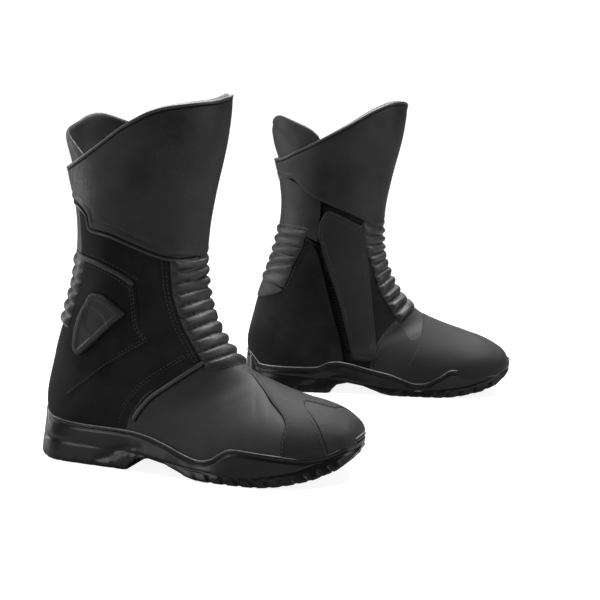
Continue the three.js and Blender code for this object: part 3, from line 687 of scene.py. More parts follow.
leatherLooks = {
    "waxed leather": {"dark": (0.0055, 0.0055, 0.006), "light": (0.024, 0.024, 0.0245), "rough": (0.42, 0.62),
                      "specular": 0.4, "patches": 1.0, "scuffs": 0.25, "grainScale": 1500.0, "pores": 0.4,
                      "bump": 0.35, "depth": 0.00035, "sheen": 0.0},
    "greased leather": {"dark": (0.019, 0.019, 0.0195), "light": (0.042, 0.042, 0.043), "rough": (0.5, 0.68),
                        "specular": 0.36, "patches": 0.7, "scuffs": 0.3, "grainScale": 1300.0, "pores": 0.4,
                        "bump": 0.35, "depth": 0.00035, "sheen": 0.01},
    "nubuck": {"dark": (0.0045, 0.0045, 0.0048), "light": (0.019, 0.019, 0.0195), "rough": (0.78, 0.95),
               "specular": 0.14, "patches": 1.0, "scuffs": 0.35, "grainScale": 2400.0, "pores": 0.9,
               "bump": 0.3, "depth": 0.0003, "sheen": 0.03},
    "rib leather": {"dark": (0.012, 0.012, 0.0125), "light": (0.050, 0.050, 0.051), "rough": (0.34, 0.5),
                    "specular": 0.45, "patches": 0.8, "scuffs": 0.4, "grainScale": 1100.0, "pores": 0.4,
                    "bump": 0.4, "depth": 0.0004, "sheen": 0.0},
    "toe pad leather": {"dark": (0.008, 0.008, 0.0083), "light": (0.018, 0.018, 0.0183), "rough": (0.5, 0.7),
                        "specular": 0.3, "patches": 0.6, "scuffs": 0.5, "grainScale": 1700.0, "pores": 0.7,
                        "bump": 0.5, "depth": 0.0004, "sheen": 0.01},
    "toe cap leather": {"dark": (0.010, 0.010, 0.0105), "light": (0.022, 0.022, 0.0225), "rough": (0.5, 0.7),
                        "specular": 0.3, "patches": 0.6, "scuffs": 0.5, "grainScale": 1700.0, "pores": 0.7,
                        "bump": 0.5, "depth": 0.0004, "sheen": 0.01},
}
materials = {name: leatherMaterial(name, look) for name, look in leatherLooks.items()}


def mouldedMaterial(name, look):
    # moulded rubber or plastic: fine spark-eroded texture with softly varying gloss
    material, nodes, links, shader = wornShader(name, look)
    place = nodes.new("ShaderNodeTexCoord").outputs["Object"]
    texture = noiseNode(nodes, links, place, look["texture"], 4.0)
    addBump(nodes, links, shader, texture, look["bump"], 0.0003)
    return material


mouldedLooks = {
    "sole rubber": {"dark": (0.0028, 0.0028, 0.003), "light": (0.007, 0.007, 0.0073), "rough": (0.2, 0.3),
                    "specular": 0.36, "patches": 0.5, "scuffs": 0.12, "texture": 1500.0, "bump": 0.15},
    "protector plastic": {"dark": (0.006, 0.006, 0.0062), "light": (0.011, 0.011, 0.0115),
                          "rough": (0.42, 0.56), "specular": 0.36, "patches": 0.5, "scuffs": 0.3,
                          "texture": 1800.0, "bump": 0.2},
    "piping": {"dark": (0.022, 0.022, 0.0225), "light": (0.055, 0.055, 0.056), "rough": (0.28, 0.42),
               "specular": 0.55, "patches": 0.6, "scuffs": 0.4, "texture": 1200.0, "bump": 0.2},
    # painted highlight: a light grey bead colour that stands in for the bright reflection along the black
    # sole's lip
    "lip painted highlight": {"dark": (0.07, 0.07, 0.071), "light": (0.40, 0.40, 0.402), "rough": (0.18, 0.3),
                  "specular": 0.6, "patches": 0.9, "scuffs": 0.6, "texture": 900.0, "bump": 0.1},
    "stiff board": {"dark": (0.20, 0.17, 0.14), "light": (0.30, 0.26, 0.22), "rough": (0.7, 0.9),
                    "specular": 0.3, "patches": 0.5, "scuffs": 0.3, "texture": 900.0, "bump": 0.3},
}
materials.update({name: mouldedMaterial(name, look) for name, look in mouldedLooks.items()})


def threadMaterial(name, dark, light, rough):
    material, nodes, links, shader = newMaterial(name)
    place = nodes.new("ShaderNodeTexCoord").outputs["Object"]
    twist = noiseNode(nodes, links, place, 1600.0, 2.0)
    links.new(mixColor(nodes, links, twist, dark, light), shader.inputs["Base Color"])
    shader.inputs["Roughness"].default_value = rough
    shader.inputs["Sheen Weight"].default_value = 0.1
    addBump(nodes, links, shader, twist, 0.5, 0.0002)
    return material


def clothMaterial(name, dark, light, scale):
    material, nodes, links, shader = newMaterial(name)
    weave = nodes.new("ShaderNodeGroup")
    weave.node_tree = weaveGroup
    weave.inputs["Scale"].default_value = scale
    links.new(mixColor(nodes, links, weave.outputs["Tone"], dark, light), shader.inputs["Base Color"])
    shader.inputs["Roughness"].default_value = 0.92
    shader.inputs["Sheen Weight"].default_value = 0.05
    shader.inputs["Specular IOR Level"].default_value = 0.2
    addBump(nodes, links, shader, weave.outputs["Height"], 0.5, 0.0003)
    return material


def metalMaterial(name, dark, light, rough):
    material, nodes, links, shader = newMaterial(name)
    place = nodes.new("ShaderNodeTexCoord").outputs["Object"]
    rub = noiseNode(nodes, links, place, 500.0, 5.0)
    links.new(mixColor(nodes, links, rub, dark, light), shader.inputs["Base Color"])
    shader.inputs["Metallic"].default_value = 0.9
    spread = nodes.new("ShaderNodeMapRange")
    spread.inputs["To Min"].default_value = rough - 0.08
    spread.inputs["To Max"].default_value = rough + 0.12
    links.new(rub, spread.inputs["Value"])
    links.new(spread.outputs["Result"], shader.inputs["Roughness"])
    addBump(nodes, links, shader, rub, 0.1, 0.0001)
    return material


materials["thread"] = threadMaterial("thread", (0.016, 0.016, 0.017), (0.05, 0.05, 0.052), 0.7)
materials["lining cloth"] = clothMaterial("lining cloth", (0.020, 0.020, 0.021), (0.045, 0.045, 0.047), 700.0)
materials["zip cloth"] = clothMaterial("zip cloth", (0.002, 0.002, 0.0022), (0.005, 0.005, 0.0055), 1100.0)
materials["black metal"] = metalMaterial("black metal", (0.008, 0.008, 0.009), (0.03, 0.03, 0.032), 0.42)
materials["spring steel"] = metalMaterial("spring steel", (0.35, 0.36, 0.37), (0.5, 0.5, 0.52), 0.3)
print("materials made")

# seams and edges in the side view, heel to toe or top to bottom
rimLateral = smoothLine([(-20, 262), (40, 264.5), (66, 272), (85, 281.5), (101, 291.5), (110.5, 298),
                         (124, 305.5), (136, 311.5), (148, 315.5), (162, 318), (176, 320.5), (190, 322.5),
                         (230, 325)])
rimMedial = smoothLine([(-20, 264), (40, 264), (66, 273), (90, 284), (124, 302), (154, 319.5), (178, 327),
                        (230, 329)])
calfEdgeLateral = joined(
    smoothLine([(-20, 240), (44, 236), (66, 229), (70.5, 225.5)], 3),
    smoothLine([(71.7, 214.2), (75.4, 212), (94.3, 208.5), (112.3, 201.3), (128, 193.5), (138.7, 188.9),
                (147, 187.4), (156.6, 186.8), (230, 186)], 3))
calfEdgeMedial = smoothLine([(-20, 245), (51.7, 244), (64.5, 240), (76.4, 229.5), (97, 217.7), (119, 207.6),
                             (137, 198), (153.8, 189.8), (230, 184)])
ribCentre = [(158, 187.5), (158, 178.5), (158, 169.5), (159, 160.8), (161, 150.8), (164, 141.5), (168, 131.3),
             (174, 122), (181, 112.3), (189, 103.5), (198, 95.5)]
ribLateral = [(141.5, 188.5), (141.5, 178), (141.8, 166.8), (142.7, 156.8), (145, 146.4), (147.5, 137),
              (151.7, 125.8), (156.5, 116.8), (162.3, 106.3), (167, 98.4), (171, 92)]
ribMedial = [(137.6, 194), (137, 181.2), (139.5, 169), (143.6, 156), (147.2, 146), (150.7, 133.7),
             (154.5, 121.6), (160, 110.2), (165.7, 101.6), (173.5, 89.5), (182, 79.5)]
heelBack = [(44, 190), (41, 179), (36, 168), (32, 157), (27, 146), (22, 135), (17, 124)]
heelLateral = [(65.5, 185), (60.5, 175), (56.5, 165), (52, 154.5), (47.5, 144), (43, 133), (38, 122)]
heelMedial = [(80, 185.5), (73.6, 178), (71, 167), (65.4, 156.6), (60.3, 147.8), (55.8, 136), (49, 121)]
quarterEdge = smoothLine([(169, 103), (166, 99.5), (154, 92.5), (138, 82), (119.5, 68.5), (105.5, 51),
                          (101, 40), (97, 8)], 3)
shiftRearLateral = smoothLine([(196, 98), (205.4, 86.8), (230.3, 69), (245, 58.5), (249.6, 51.4),
                               (248.7, 46.8), (247.9, 36.4), (247, 8)], 3)
shiftRearMedial = smoothLine([(206, 98), (206, 76), (204.5, 67.5), (200, 64), (195, 62.5), (190, 67),
                              (183, 77)], 3)
padRearMedial = smoothLine([(176, 80), (164, 66.5), (155, 50), (151, 30), (148, 6)], 3)
toeLateral = smoothLine([(250, 76), (257.4, 65.6), (268.5, 57.3), (276.5, 48.5), (282.2, 35.5), (283.5, 26),
                         (285, 8)], 3)
toeMedial = smoothLine([(272, 76), (279, 62), (285, 54.5), (289.7, 50), (294, 45), (297.4, 38), (300, 30),
                        (306, 16)], 3)
overlayLine = [(113, 165.5), (114.8, 153), (114.8, 140), (116.8, 128), (124.2, 117.8), (115, 111),
               (100.5, 102.4), (79.8, 90), (61, 76), (40, 61)]

# calf panel with its rolled trim along the lower edge
calfSettings = {"level": 0.9, "thick": 1.3, "puff": 1.2, "waves": 0.5, "waveLength": 42, "skirt": 3.0}
calfRegion = {"lateral": joined(calfEdgeLateral, rimLateral[::-1]),
              "medial": joined(calfEdgeMedial, rimMedial[::-1]), "spread": 22}


def calfHeight(points, inset):
    x, y, z = points.T
    lateral = smoothStep(4, -4, y)
    toEdge = distanceTo(calfEdgeLateral, x, z)
    trim = ridge(toEdge, 5.6, 1.9, 0.7) - ridge(toEdge, 2.7, 0.9, 1.1) - ridge(toEdge, 9.4, 0.9, 0.5)
    toMedial = distanceTo(calfEdgeMedial, x, z)
    hem = ridge(toMedial, 3.5, 3.0, 0.5) - ridge(toMedial, 7.5, 1.0, 0.35)
    dents = -1.1 * np.exp(-(((x - 150) / 16) ** 2 + ((z - 262) / 34) ** 2)) - 0.8 * np.exp(
        -(((x - 62) / 12) ** 2 + ((z - 246) / 20) ** 2))
    return lateral * trim + (1 - lateral) * hem + dents


addPiece("calf_panel", cutPanel(calfRegion, height=calfHeight, **calfSettings), "waxed leather",
         ["calf_panel"], "shaft")
addCord("calf_cord", calfEdgeLateral[2:-8], 2.0, (1.1, 1.0), 10, "piping", "shaft")
addCord("calf_seam", shifted(calfEdgeLateral, 2.0)[2:-8], 2.4, (0.8, 0.5), 8, "zip cloth",
        "shaft")


def levelLoop(field, offset):
    # where each line round the last meets field == 0, from the top down
    loop, normals = [], []
    for j in range(aroundCount):
        value = field(lastPoints[:, j])
        i = int(np.argmax(value < 0))
        i = max(i, 1)
        t = value[i - 1] / (value[i - 1] - value[i])
        loop.append(lastPoints[i - 1, j] * (1 - t) + lastPoints[i, j] * t)
        normals.append(lastNormals[i - 1, j] * (1 - t) + lastNormals[i, j] * t)
    loop, normals = np.array(loop), np.array(normals)
    normals /= np.linalg.norm(normals, axis=1)[:, None]
    return loop + normals * offset, normals


def rimField(drop):
    # height over a line that runs drop mm under the rim
    def field(p):
        w = smoothStep(-calfRegion["spread"], calfRegion["spread"], p[:, 1])
        rim = (np.interp(p[:, 0], rimLateral[:, 0], rimLateral[:, 1]) * (1 - w)
               + np.interp(p[:, 0], rimMedial[:, 0], rimMedial[:, 1]) * w)
        return p[:, 2] - rim + drop
    return field


# collar: piping cord on the rim, the seam under it and the padded roll inside it
collarSettings = {"pipe": {"drop": -0.6, "offset": 1.6, "half": (1.7, 1.7), "sides": 10},
                  "seam": {"drop": 1.5, "offset": 2.5, "half": (0.7, 0.6), "sides": 8},
                  "roll": {"drop": 0.6, "offset": -3.0, "half": (3.0, 3.4), "sides": 12}}


def collarLoop(drop, offset, half, sides):
    loop, normals = levelLoop(rimField(drop), offset)
    return sweep(loop, normals, *half, sides, True)


addPiece("collar_piping", collarLoop(**collarSettings["pipe"]), "piping", ["collar_piping"],
         "shaft")
addPiece("rim_seam", collarLoop(**collarSettings["seam"]), "zip cloth", [], "shaft")
for piece in addPiece("collar_roll", collarLoop(**collarSettings["roll"]), "waxed leather",
                      body="shaft"):
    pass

# lining: one soft sock from the collar to the toe, open under the foot where the footbed lies
liningSettings = {"inside": -6.6, "drop": 2.5, "ripple": 0.35, "rippleTurn": 0.9}
liningFloor = [(-12, 29), (60, 27), (115, 24), (160, 18), (195, 16), (225, 17.5), (262, 24), (300, 36),
               (318, 42)]


def lineHeight(line, x):
    p = np.asarray(line, float)
    return np.interp(x, p[:, 0], p[:, 1])


def liningShape():
    points = lastSkin[:, :3] + lastSkin[:, 3:] * liningSettings["inside"]
    skin = np.concatenate([points, lastSkin[:, 3:]], axis=1)
    skin, faces = splitMesh(skin, lastFaces, rimField(liningSettings["drop"])(lastSkin[:, :3]))
    skin, faces = splitMesh(skin, faces, lineHeight(liningFloor, skin[:, 0]) - skin[:, 2])
    skin, faces, _ = compact(skin, faces)
    rings = liningSettings["ripple"] * np.sin(skin[:, 2] * liningSettings["rippleTurn"])
    return skin[:, :3] + skin[:, 3:] * rings[:, None], faces[:, ::-1]


addPiece("lining", liningShape(), "lining cloth", ["shaft_lining", "foot_lining"])

# padded tab that stands up behind the calf
tabSettings = {"level": -4.4, "half": 1.9, "roll": 4.5, "waves": 0.5}
tabLateral = joined(
    smoothLine([(10, 262), (11, 280), (15, 293), (22, 299), (31, 298), (45, 291), (60, 281), (75, 269),
                (84, 258)], 3), [(84, 236), (10, 236)])
tabMedial = joined(
    smoothLine([(10, 262), (14, 285), (19, 298), (26, 306), (34, 312), (42, 313.5), (57, 308.4), (75, 301),
                (84, 295.4), (91, 287), (98, 262)], 3), [(98, 236), (10, 236)])
tabRegion = {"lateral": tabLateral, "medial": tabMedial, "spread": 24}


def tabHeight(points, inset):
    x, z = points[:, 0], points[:, 2]
    crease = ridge(np.abs((x - 40) * 0.55 + (z - 300) * 0.83 + 4), 0, 3.2, -1.2)
    return crease * smoothStep(262, 280, z)


tab = cutPillow(tabRegion, height=tabHeight, **tabSettings)
for piece in addPiece("rear_collar_tab", tab, "waxed leather", ["rear_collar_tab"], "shaft"):
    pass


# ribs: padded rolls between stitched valleys
def ribCount(front, edge, points):
    # which rib a point lies on, counted from the top along the row of valley lines
    x, z = points[:, 0], points[:, 2]
    gaps = []
    for (fx, fz), (ex, ez) in zip(front, edge):
        dx, dz = fx - ex, fz - ez
        length = math.hypot(dx, dz)
        side = math.copysign(1.0, dx)
        gaps.append(side * ((x - ex) * dz - (z - ez) * dx) / length)
    gaps = np.array(gaps)
    result = np.zeros(len(x))
    for i in range(len(front) - 1):
        a, b = gaps[i], gaps[i + 1]
        inside = (a >= 0) & (b < 0)
        result = np.where(inside, i + a / np.maximum(a - b, 1e-6), result)
    result = np.where(gaps[-1] >= 0, len(front) - 1 + gaps[-1] / 10, result)
    return np.where(gaps[0] < 0, gaps[0] / 10, result)


def ribHeight(front, edges, rise, valley):
    def height(points, inset):
        lateral, medial = [ribCount(front, edge, points) for edge in edges]
        mix = smoothStep(-4, 4, points[:, 1])
        place = lateral * (1 - mix) + medial * mix
        phase = place - np.floor(place)
        bulge = np.sqrt(np.clip(1 - (2 * phase - 1) ** 2, 0, 1)) ** 0.9
        uneven = 1 + 0.10 * np.sin(place * 5.1 + points[:, 1] * 0.11)
        fade = np.clip(inset / 4.0, 0, 1) ** 0.6
        return (rise * bulge * uneven - valley) * fade
    return height


def ribRing(front, edge, reach):
    # outline of a rib panel: its curved edge, and its valley lines drawn out past the middle
    top, bottom = 4, -1
    outer = [(x + reach, z + reach * (z - ez) / (x - ex)) for (x, z), (ex, ez) in zip(front, edge)]
    outer[0] = (outer[0][0], outer[0][1] + top)
    outer[-1] = (outer[-1][0], outer[-1][1] + bottom)
    first, last = (edge[0][0], edge[0][1] + top), (edge[-1][0], edge[-1][1] + bottom)
    return joined([first], smoothLine(edge, 3)[1:-1], [last], outer[::-1])


ribSettings = {"front_flex_ribs": {"rise": 5.4, "valley": 1.7, "reach": 60},
               "rear_flex_ribs": {"rise": 4.6, "valley": 1.5, "reach": -60}}


def addRibs(name, front, lateral, medial):
    look = ribSettings[name]
    region = {"lateral": ribRing(front, lateral, look["reach"]),
              "medial": ribRing(front, medial, look["reach"])}
    height = ribHeight(front, (lateral, medial), look["rise"], look["valley"])
    addPiece(name, cutPanel(region, 0.0, 0.9, 1.2, waves=0.1, height=height), "rib leather",
             [name])


addRibs("front_flex_ribs", ribCentre, ribLateral, ribMedial)
addRibs("rear_flex_ribs", heelBack, heelLateral, heelMedial)
print("ribs made")

# outer quarter and what is sewn over it
lateralQuarter = joined([(-60, 6), (97, 6)], quarterEdge[::-1],
                        [(174, 108), (166, 124), (158, 145), (155, 170), (155, 205), (60, 226), (-60, 232)])
medialBehind = [(-60, 6), (117, 6), (117, 36), (114.3, 56), (110, 73.5), (102, 104.5), (95.8, 131),
                (88.7, 159), (78, 181), (72, 200), (68, 212), (-60, 232)]
medialAhead = [(132, 6), (133, 40), (118, 92), (104, 150), (99, 180), (95, 214), (120, 210), (160, 192),
               (162, 165), (160, 140), (166, 118), (184, 98), (190, 88), (176, 84), (161, 68), (152, 50),
               (148, 30), (146, 6)]
addPiece("lateral_quarter", cutPanel({"lateral": lateralQuarter}, 0.0, 0.5, 0.9, waves=0.35, waveLength=30),
         "nubuck", ["lateral_quarter", "lateral_gaiter"])
addPiece("medial_quarter_rear", cutPanel({"medial": medialBehind}, 0.0, 0.5, 0.9, waves=0.4, waveLength=28),
         "nubuck", ["medial_quarter_rear"])
addPiece("medial_quarter_front", cutPanel({"medial": medialAhead}, 0.0, 0.3, 0.9, waves=0.2),
         "nubuck", ["medial_quarter_front"], "foot")
gaiterLateral = [(-60, 250), (60, 240), (60, 190), (46, 190), (-60, 194)]
gaiterMedial = [(-60, 252), (43, 249), (68, 238), (92, 226), (92, 205), (90, 178), (88, 173.5), (68, 183.5),
                (46, 189), (-60, 194)]
gaiterRegion = {"lateral": gaiterLateral, "medial": gaiterMedial}
addPiece("medial_gaiter", cutPanel(gaiterRegion, 0.4, 1.0, 1.2, puff=0.6, waves=0.3),
         "waxed leather", ["medial_gaiter"])
tailMedial = smoothLine([(-30, 131), (20, 129.5), (28.6, 127), (38.5, 123), (47.6, 116.8), (43.8, 114),
                         (29.6, 109), (17, 106), (-30, 103)], 3)
tailLateral = [(-30, 131), (8, 129), (13, 122), (10, 112), (-30, 104)]
addPiece("tail_tab", cutPanel({"lateral": tailLateral, "medial": tailMedial}, 0.6, 1.0, 1.0, puff=0.5),
         "greased leather", [], "foot")
overlayRing = joined([(64, 187), (78, 182), (100, 174), (112, 166)], smoothLine(overlayLine, 3),
                     [(24, 84), (31, 108), (44, 130), (52, 152), (58, 170)])
addPiece("ankle_overlay", cutPanel({"lateral": overlayRing, "from": 2}, 0.5, 1.1, 0.9, waves=0.25),
         "nubuck", ["ankle_overlay"])
bandRing = [(30, 240), (60, 236), (68, 232), (74, 222), (78, 216), (94, 212), (112, 205), (124, 199),
            (122, 184), (116, 168), (101, 178), (82, 186), (66, 190), (48, 197), (30, 202)]
addPiece("upper_band", cutPanel({"lateral": bandRing}, 0.5, 1.0, 0.9, waves=0.2), "nubuck")
barLine = smoothLine([(58, 188), (76.5, 184.8), (85.4, 182), (101, 175.6), (113.5, 166.5)])
addCord("trim_bar", barLine, 1.9, (2.3, 1.7), 12, "greased leather")

# vamp, shift pad and toe cap
vampLateral = joined([(160, 116), (166, 108)], shifted(quarterEdge, -5)[:-1],
                     [(96, 8), (320, 6), (320, 95), (226, 116)])
vampMedial = [(160, 112), (182, 95), (175, 84), (160, 67), (151, 50), (147, 30), (143, 6), (320, 6),
              (320, 95), (226, 116)]


def vampHeight(points, inset):
    x, y, z = points.T
    # soft flexing folds across the ball of the foot
    folds = 0.0
    for centre, rise in ((214, 0.28), (226, 0.25), (240, 0.2)):
        line = (x - centre) + 0.35 * (z - 75) + 0.08 * y
        folds = folds - rise * np.exp(-(line / 2.6) ** 2) * smoothStep(45, 68, z)
    return folds


vampRegion = {"lateral": vampLateral, "medial": vampMedial}
addPiece("vamp", cutPanel(vampRegion, -0.3, 0.6, 0.9, waves=0.45, waveLength=30, height=vampHeight),
         "greased leather", ["vamp"], "foot")
shiftRegion = {"lateral": joined(shiftRearLateral, toeLateral[::-1]),
               "medial": joined(shiftRearMedial, padRearMedial, toeMedial[::-1])}
addPiece("shift_pad", cutPanel(shiftRegion, 0.2, 1.2, 0.9, waves=0.25), "toe pad leather",
         ["shift_pad"], "foot")
pastToe = [(360, 0), (360, 90)]
toeRegion = {"lateral": joined(toeLateral, pastToe), "medial": joined(toeMedial, pastToe)}
addPiece("toe_cap", cutPanel(toeRegion, 0.0, 0.8, 0.9, waves=0.2), "toe cap leather",
         ["toe_cap"], "foot")

# raised cord along the quarter's front edge, with a dark seam on each side of it
cordLine = smoothLine([(168.7, 98.6), (158, 91), (141, 79.3), (122.8, 66), (109.2, 49.6), (106.5, 44)], 2)
addCord("quarter_cord", cordLine, 1.6, (2.1, 1.9), 12, "piping", "foot")
for place, distance in (("upper", 2.4), ("lower", -2.6)):
    addCord(f"quarter_seam_{place}", shifted(cordLine, distance), 0.9, (0.8, 0.5), 8, "zip cloth",
            "foot")
print("leather cut")


# stitches
stitchSettings = {"pitch": 3.7, "length": 2.5, "radius": 0.33, "sides": 5, "dip": 1.6}
# place along a stitch, size and depth of each ring of it
stitchRings = [(-0.5, 0.45, 0.35), (-0.25, 1.0, 0.0), (0.25, 1.0, 0.0), (0.5, 0.45, 0.35)]


def stitchRun(line, side, lift):
    points, normals = trace(line, side, lift, stitchSettings["pitch"])
    length, radius, sides = [stitchSettings[key] for key in ("length", "radius", "sides")]
    along = np.gradient(points, axis=0)
    along /= np.linalg.norm(along, axis=1)[:, None]
    parts = []
    angle = np.arange(sides) / sides * 2 * math.pi
    for p, n, t in zip(points, normals, along):
        across = np.cross(t, n)
        rings = []
        for place, size, depth in stitchRings:
            middle = p + t * place * length - n * depth * radius * stitchSettings["dip"]
            around = np.cos(angle)[:, None] * across + np.sin(angle)[:, None] * n
            rings.append(middle + around * radius * size)
        parts.append((np.concatenate(rings), gridFaces(len(stitchRings), sides)))
    return merged(parts)


def stitches(name, runs, body):
    verts, faces = merged([stitchRun(*run) for run in runs])
    addPiece(name, (verts, faces[:, ::-1]), "thread", body=body)


overlayCurve = smoothLine(overlayLine, 3)
ribStitch = smoothLine(ribLateral[:-1], 3)
upperRuns = [
    (shifted(overlayCurve, -2.4), lateralSide, 1.75), (shifted(overlayCurve, -4.6)[:26], lateralSide, 1.75),
    (shifted(ribStitch, -2.6), lateralSide, 0.9), (shifted(ribStitch, -5.2), lateralSide, 0.9),
    (smoothLine([(58, 182), (80, 179), (98, 171.5), (109.5, 163)]), lateralSide, 1.8),
    (smoothLine([(64, 192), (84, 188), (103, 180), (116, 172)]), lateralSide, 1.7),
    (shifted(quarterEdge, 3.0)[2:-6], lateralSide, 0.9),
    (smoothLine([(68, 181), (60, 168), (54, 155), (48, 143), (42, 130)]), lateralSide, 1.8),
    (shifted(smoothLine(heelMedial), 3.0), medialSide, 0.9),
    (smoothLine([(50, 184.5), (68, 180), (86, 171)]), medialSide, 1.0),
    (smoothLine([(76, 186), (88, 179.5)]), medialSide, 1.8),
]
stitches("upper_stitching", upperRuns, "bend")
calfStitch = smoothLine([(76, 212), (94.3, 208.5), (112.3, 201.3), (128, 193.5), (138.7, 188.9),
                         (154, 187)], 3)
calfRuns = [(shifted(calfStitch, 5.4), lateralSide, 2.9), (shifted(calfStitch, 11.0), lateralSide, 3.2)]
stitches("calf_stitching", calfRuns, "shaft")
footRuns = [
    (shifted(quarterEdge, -8.6)[2:-10], lateralSide, 0.55),
    (shifted(quarterEdge, -11.0)[2:-12], lateralSide, 0.55),
    (shifted(shiftRearLateral, 1.8)[3:-4], lateralSide, 1.55),
    (shifted(toeLateral, -1.8)[2:-3], lateralSide, 1.55),
    (smoothLine([(203, 55.6), (198, 46), (193, 37)], 3), medialSide, 1.55),
    (shifted(padRearMedial, 2.4)[1:-6], medialSide, 1.55),
]
stitches("foot_stitching", footRuns, "foot")
print("stitches sewn")

# ankle protector: a moulded shield with a raised border and a plain oval recess
def closedCurve(line):
    # smooth ring through line, without its doubled last point
    return smoothLine(line + [line[0]], 2)[:-1]


shieldSettings = {"level": 1.5, "thick": 3.2, "roll": 1.6, "skirt": 1.5, "scores": (5.2, 6.6, 2.6),
                  "waves": 0.0}
shieldLine = [(67, 153), (70, 156.5), (75.7, 157.8), (87.5, 155.5), (100.5, 146), (105, 141.2),
              (104.5, 138.8), (95.7, 132.2), (76, 115), (58, 100.5), (54.8, 99), (51, 99.8), (48.9, 103),
              (47.8, 112), (53.3, 132.5)]


def shieldHeight(points, inset):
    x, z = points[:, 0], points[:, 2]
    # thicker towards its lower front edge, where it stands off the leather
    lean = 0.07 * ((x - 72) * 0.7 - (z - 132) * 0.7) + 1.4
    border = 1 - smoothStep(5.2, 6.6, inset)
    field = -0.9 * (1 - border)
    u, v = (x - 75) * 0.8 + (z - 130) * 0.6, -(x - 75) * 0.6 + (z - 130) * 0.8
    oval = (u / 11.5) ** 2 + (v / 15.5) ** 2
    dish = -0.9 * smoothStep(1.15, 0.85, oval)
    return lean * smoothStep(0, 2.0, inset) + field + dish


shieldRegion = {"lateral": closedCurve(shieldLine), "from": 2}
shield = cutPanel(shieldRegion, height=shieldHeight, **shieldSettings)
addPiece("ankle_protector", shield, "protector plastic", ["ankle_protector"])

# closure flap, hinged along its front edge
flapSettings = {"level": 2.6, "half": 0.95, "roll": 1.3, "waves": 0.35}
flapLine = [(89.5, 181), (91, 194), (94, 201.5), (97, 207), (101, 209), (106, 208), (119, 201.5), (134, 192),
            (138, 185), (156, 46), (155.5, 41), (150, 38.7), (133, 38.7), (129.5, 40.5), (127.3, 45),
            (122.6, 62), (115.8, 91), (107.8, 119), (98.8, 148)]


def flapHeight(points, inset):
    border = -ridge(inset, 5.0, 0.7, 0.45)
    swell = 0.9 * np.sqrt(np.clip(inset / 16, 0, 1))
    return border + swell


addPiece("closure_flap", cutPillow({"medial": closedCurve(flapLine)}, height=flapHeight, **flapSettings),
         "toe pad leather", ["closure_flap"], "flap")
flapInner = [(93.5, 182), (95, 194), (98.5, 202), (102, 204.5), (118, 197.5), (131, 189), (134, 183),
             (151.5, 46), (149, 43), (135, 43), (131.5, 46), (127, 63), (120, 92), (112, 120), (103, 149)]
stitches("flap_stitching", [(smoothLine(flapInner + [flapInner[0]], 3), medialSide, 3.75)], "flap")


# zip: tape, two rows of teeth, and a dark gusset on each side
zipSettings = {"low": (124, 46.0), "high": (93, 172.0), "sink": 4.7, "tape": 14.0, "pitch": 1.9,
               "tooth": 1.35}


def zipFrameOf():
    ends = []
    for x, z in (zipSettings["low"], zipSettings["high"]):
        surface, _ = onLast(x, z, medialSide)
        ends.append(np.array([x, surface[1] - zipSettings["sink"], z]))
    low, high = ends
    up = (high - low) / np.linalg.norm(high - low)
    out = np.array([0, 1.0, 0]) - up * up[1]
    out /= np.linalg.norm(out)
    return low, up, out, np.cross(up, out), float(np.linalg.norm(high - low))


zipLow, zipUp, zipOut, zipAcross, zipLength = zipFrameOf()


def zipPoint(along, across, out):
    return zipLow + zipUp * along + zipAcross * across + zipOut * out


def boxShape(along, across, out):
    corners = np.array([zipPoint(a, c, o) for a in along for c in across for o in out])
    quads = [(0, 1, 3, 2), (4, 6, 7, 5), (0, 4, 5, 1), (2, 3, 7, 6), (0, 2, 6, 4), (1, 5, 7, 3)]
    tris = [t for a, b, c, d in quads for t in ((a, b, c), (a, c, d))]
    return corners, np.array(tris)


teeth = []
for k in range(int((zipLength - 5) / zipSettings["pitch"])):
    base = 3 + k * zipSettings["pitch"]
    side = 1 if k % 2 else -1
    teeth.append(boxShape((base, base + zipSettings["tooth"]), (side * 2.4, side * -0.4), (0.35, 1.6)))
tape = boxShape((0, zipLength), (-zipSettings["tape"] / 2, zipSettings["tape"] / 2), (-0.4, 0.4))
addPiece("zip_tape", tape, "zip cloth", ["zip_tape"], "foot", False)
addPiece("zip_teeth", merged(teeth), "black metal", [], "foot", False)


def gussetWall(side):
    # one wall of the recess, from the tape up to the leather's edge
    rows = []
    for along in np.linspace(-10, zipLength + 22, 34):
        p = zipPoint(along, side * 7.5, 0)
        surface, _ = onLast(p[0] - side * 0.2, p[2], medialSide)
        rows.append([zipPoint(along, side * 6.8, -0.2), zipPoint(along, side * 8.2, 0.2),
                     np.array([p[0] - side * 1.2, surface[1] - 0.6, p[2]])])
    return np.array(rows).reshape(-1, 3), gridFaces(len(rows), 3, False)


gusset = merged([gussetWall(side) for side in (-1, 1)])
addPiece("zip_gusset", gusset, "zip cloth", body="foot")
print("flap and zip made")

# sole: cupped side wall, wavy lip, heel block, arch and lugged tread
soleOutline = [(-4, 0), (0, -18), (10, -31), (28, -39), (60, -42), (100, -44.5), (140, -48.5), (175, -53),
               (205, -54.5), (235, -52.5), (262, -45), (285, -31), (300, -13), (306, 5), (303, 21), (291, 34),
               (272, 43.5), (245, 49.5), (212, 51), (178, 49), (145, 46.5), (100, 44), (60, 43), (28, 39.5),
               (10, 31), (0, 18)]
groundLine = [(-12, 14), (-4, 7), (4, 2.5), (14, 0.3), (22, 0), (98, 0), (102, 0.8), (105, 5), (110, 10),
              (122, 12.5), (140, 9.5), (160, 2.5), (172, 0.2), (180, 0), (228, 0), (240, 0.8), (252, 2.5),
              (274, 7), (290, 13), (300, 20), (306, 27), (318, 36)]
platformLine = [(-12, 25), (60, 23), (115, 20), (160, 14), (195, 12), (225, 13.5), (262, 20), (300, 32),
                (318, 38)]
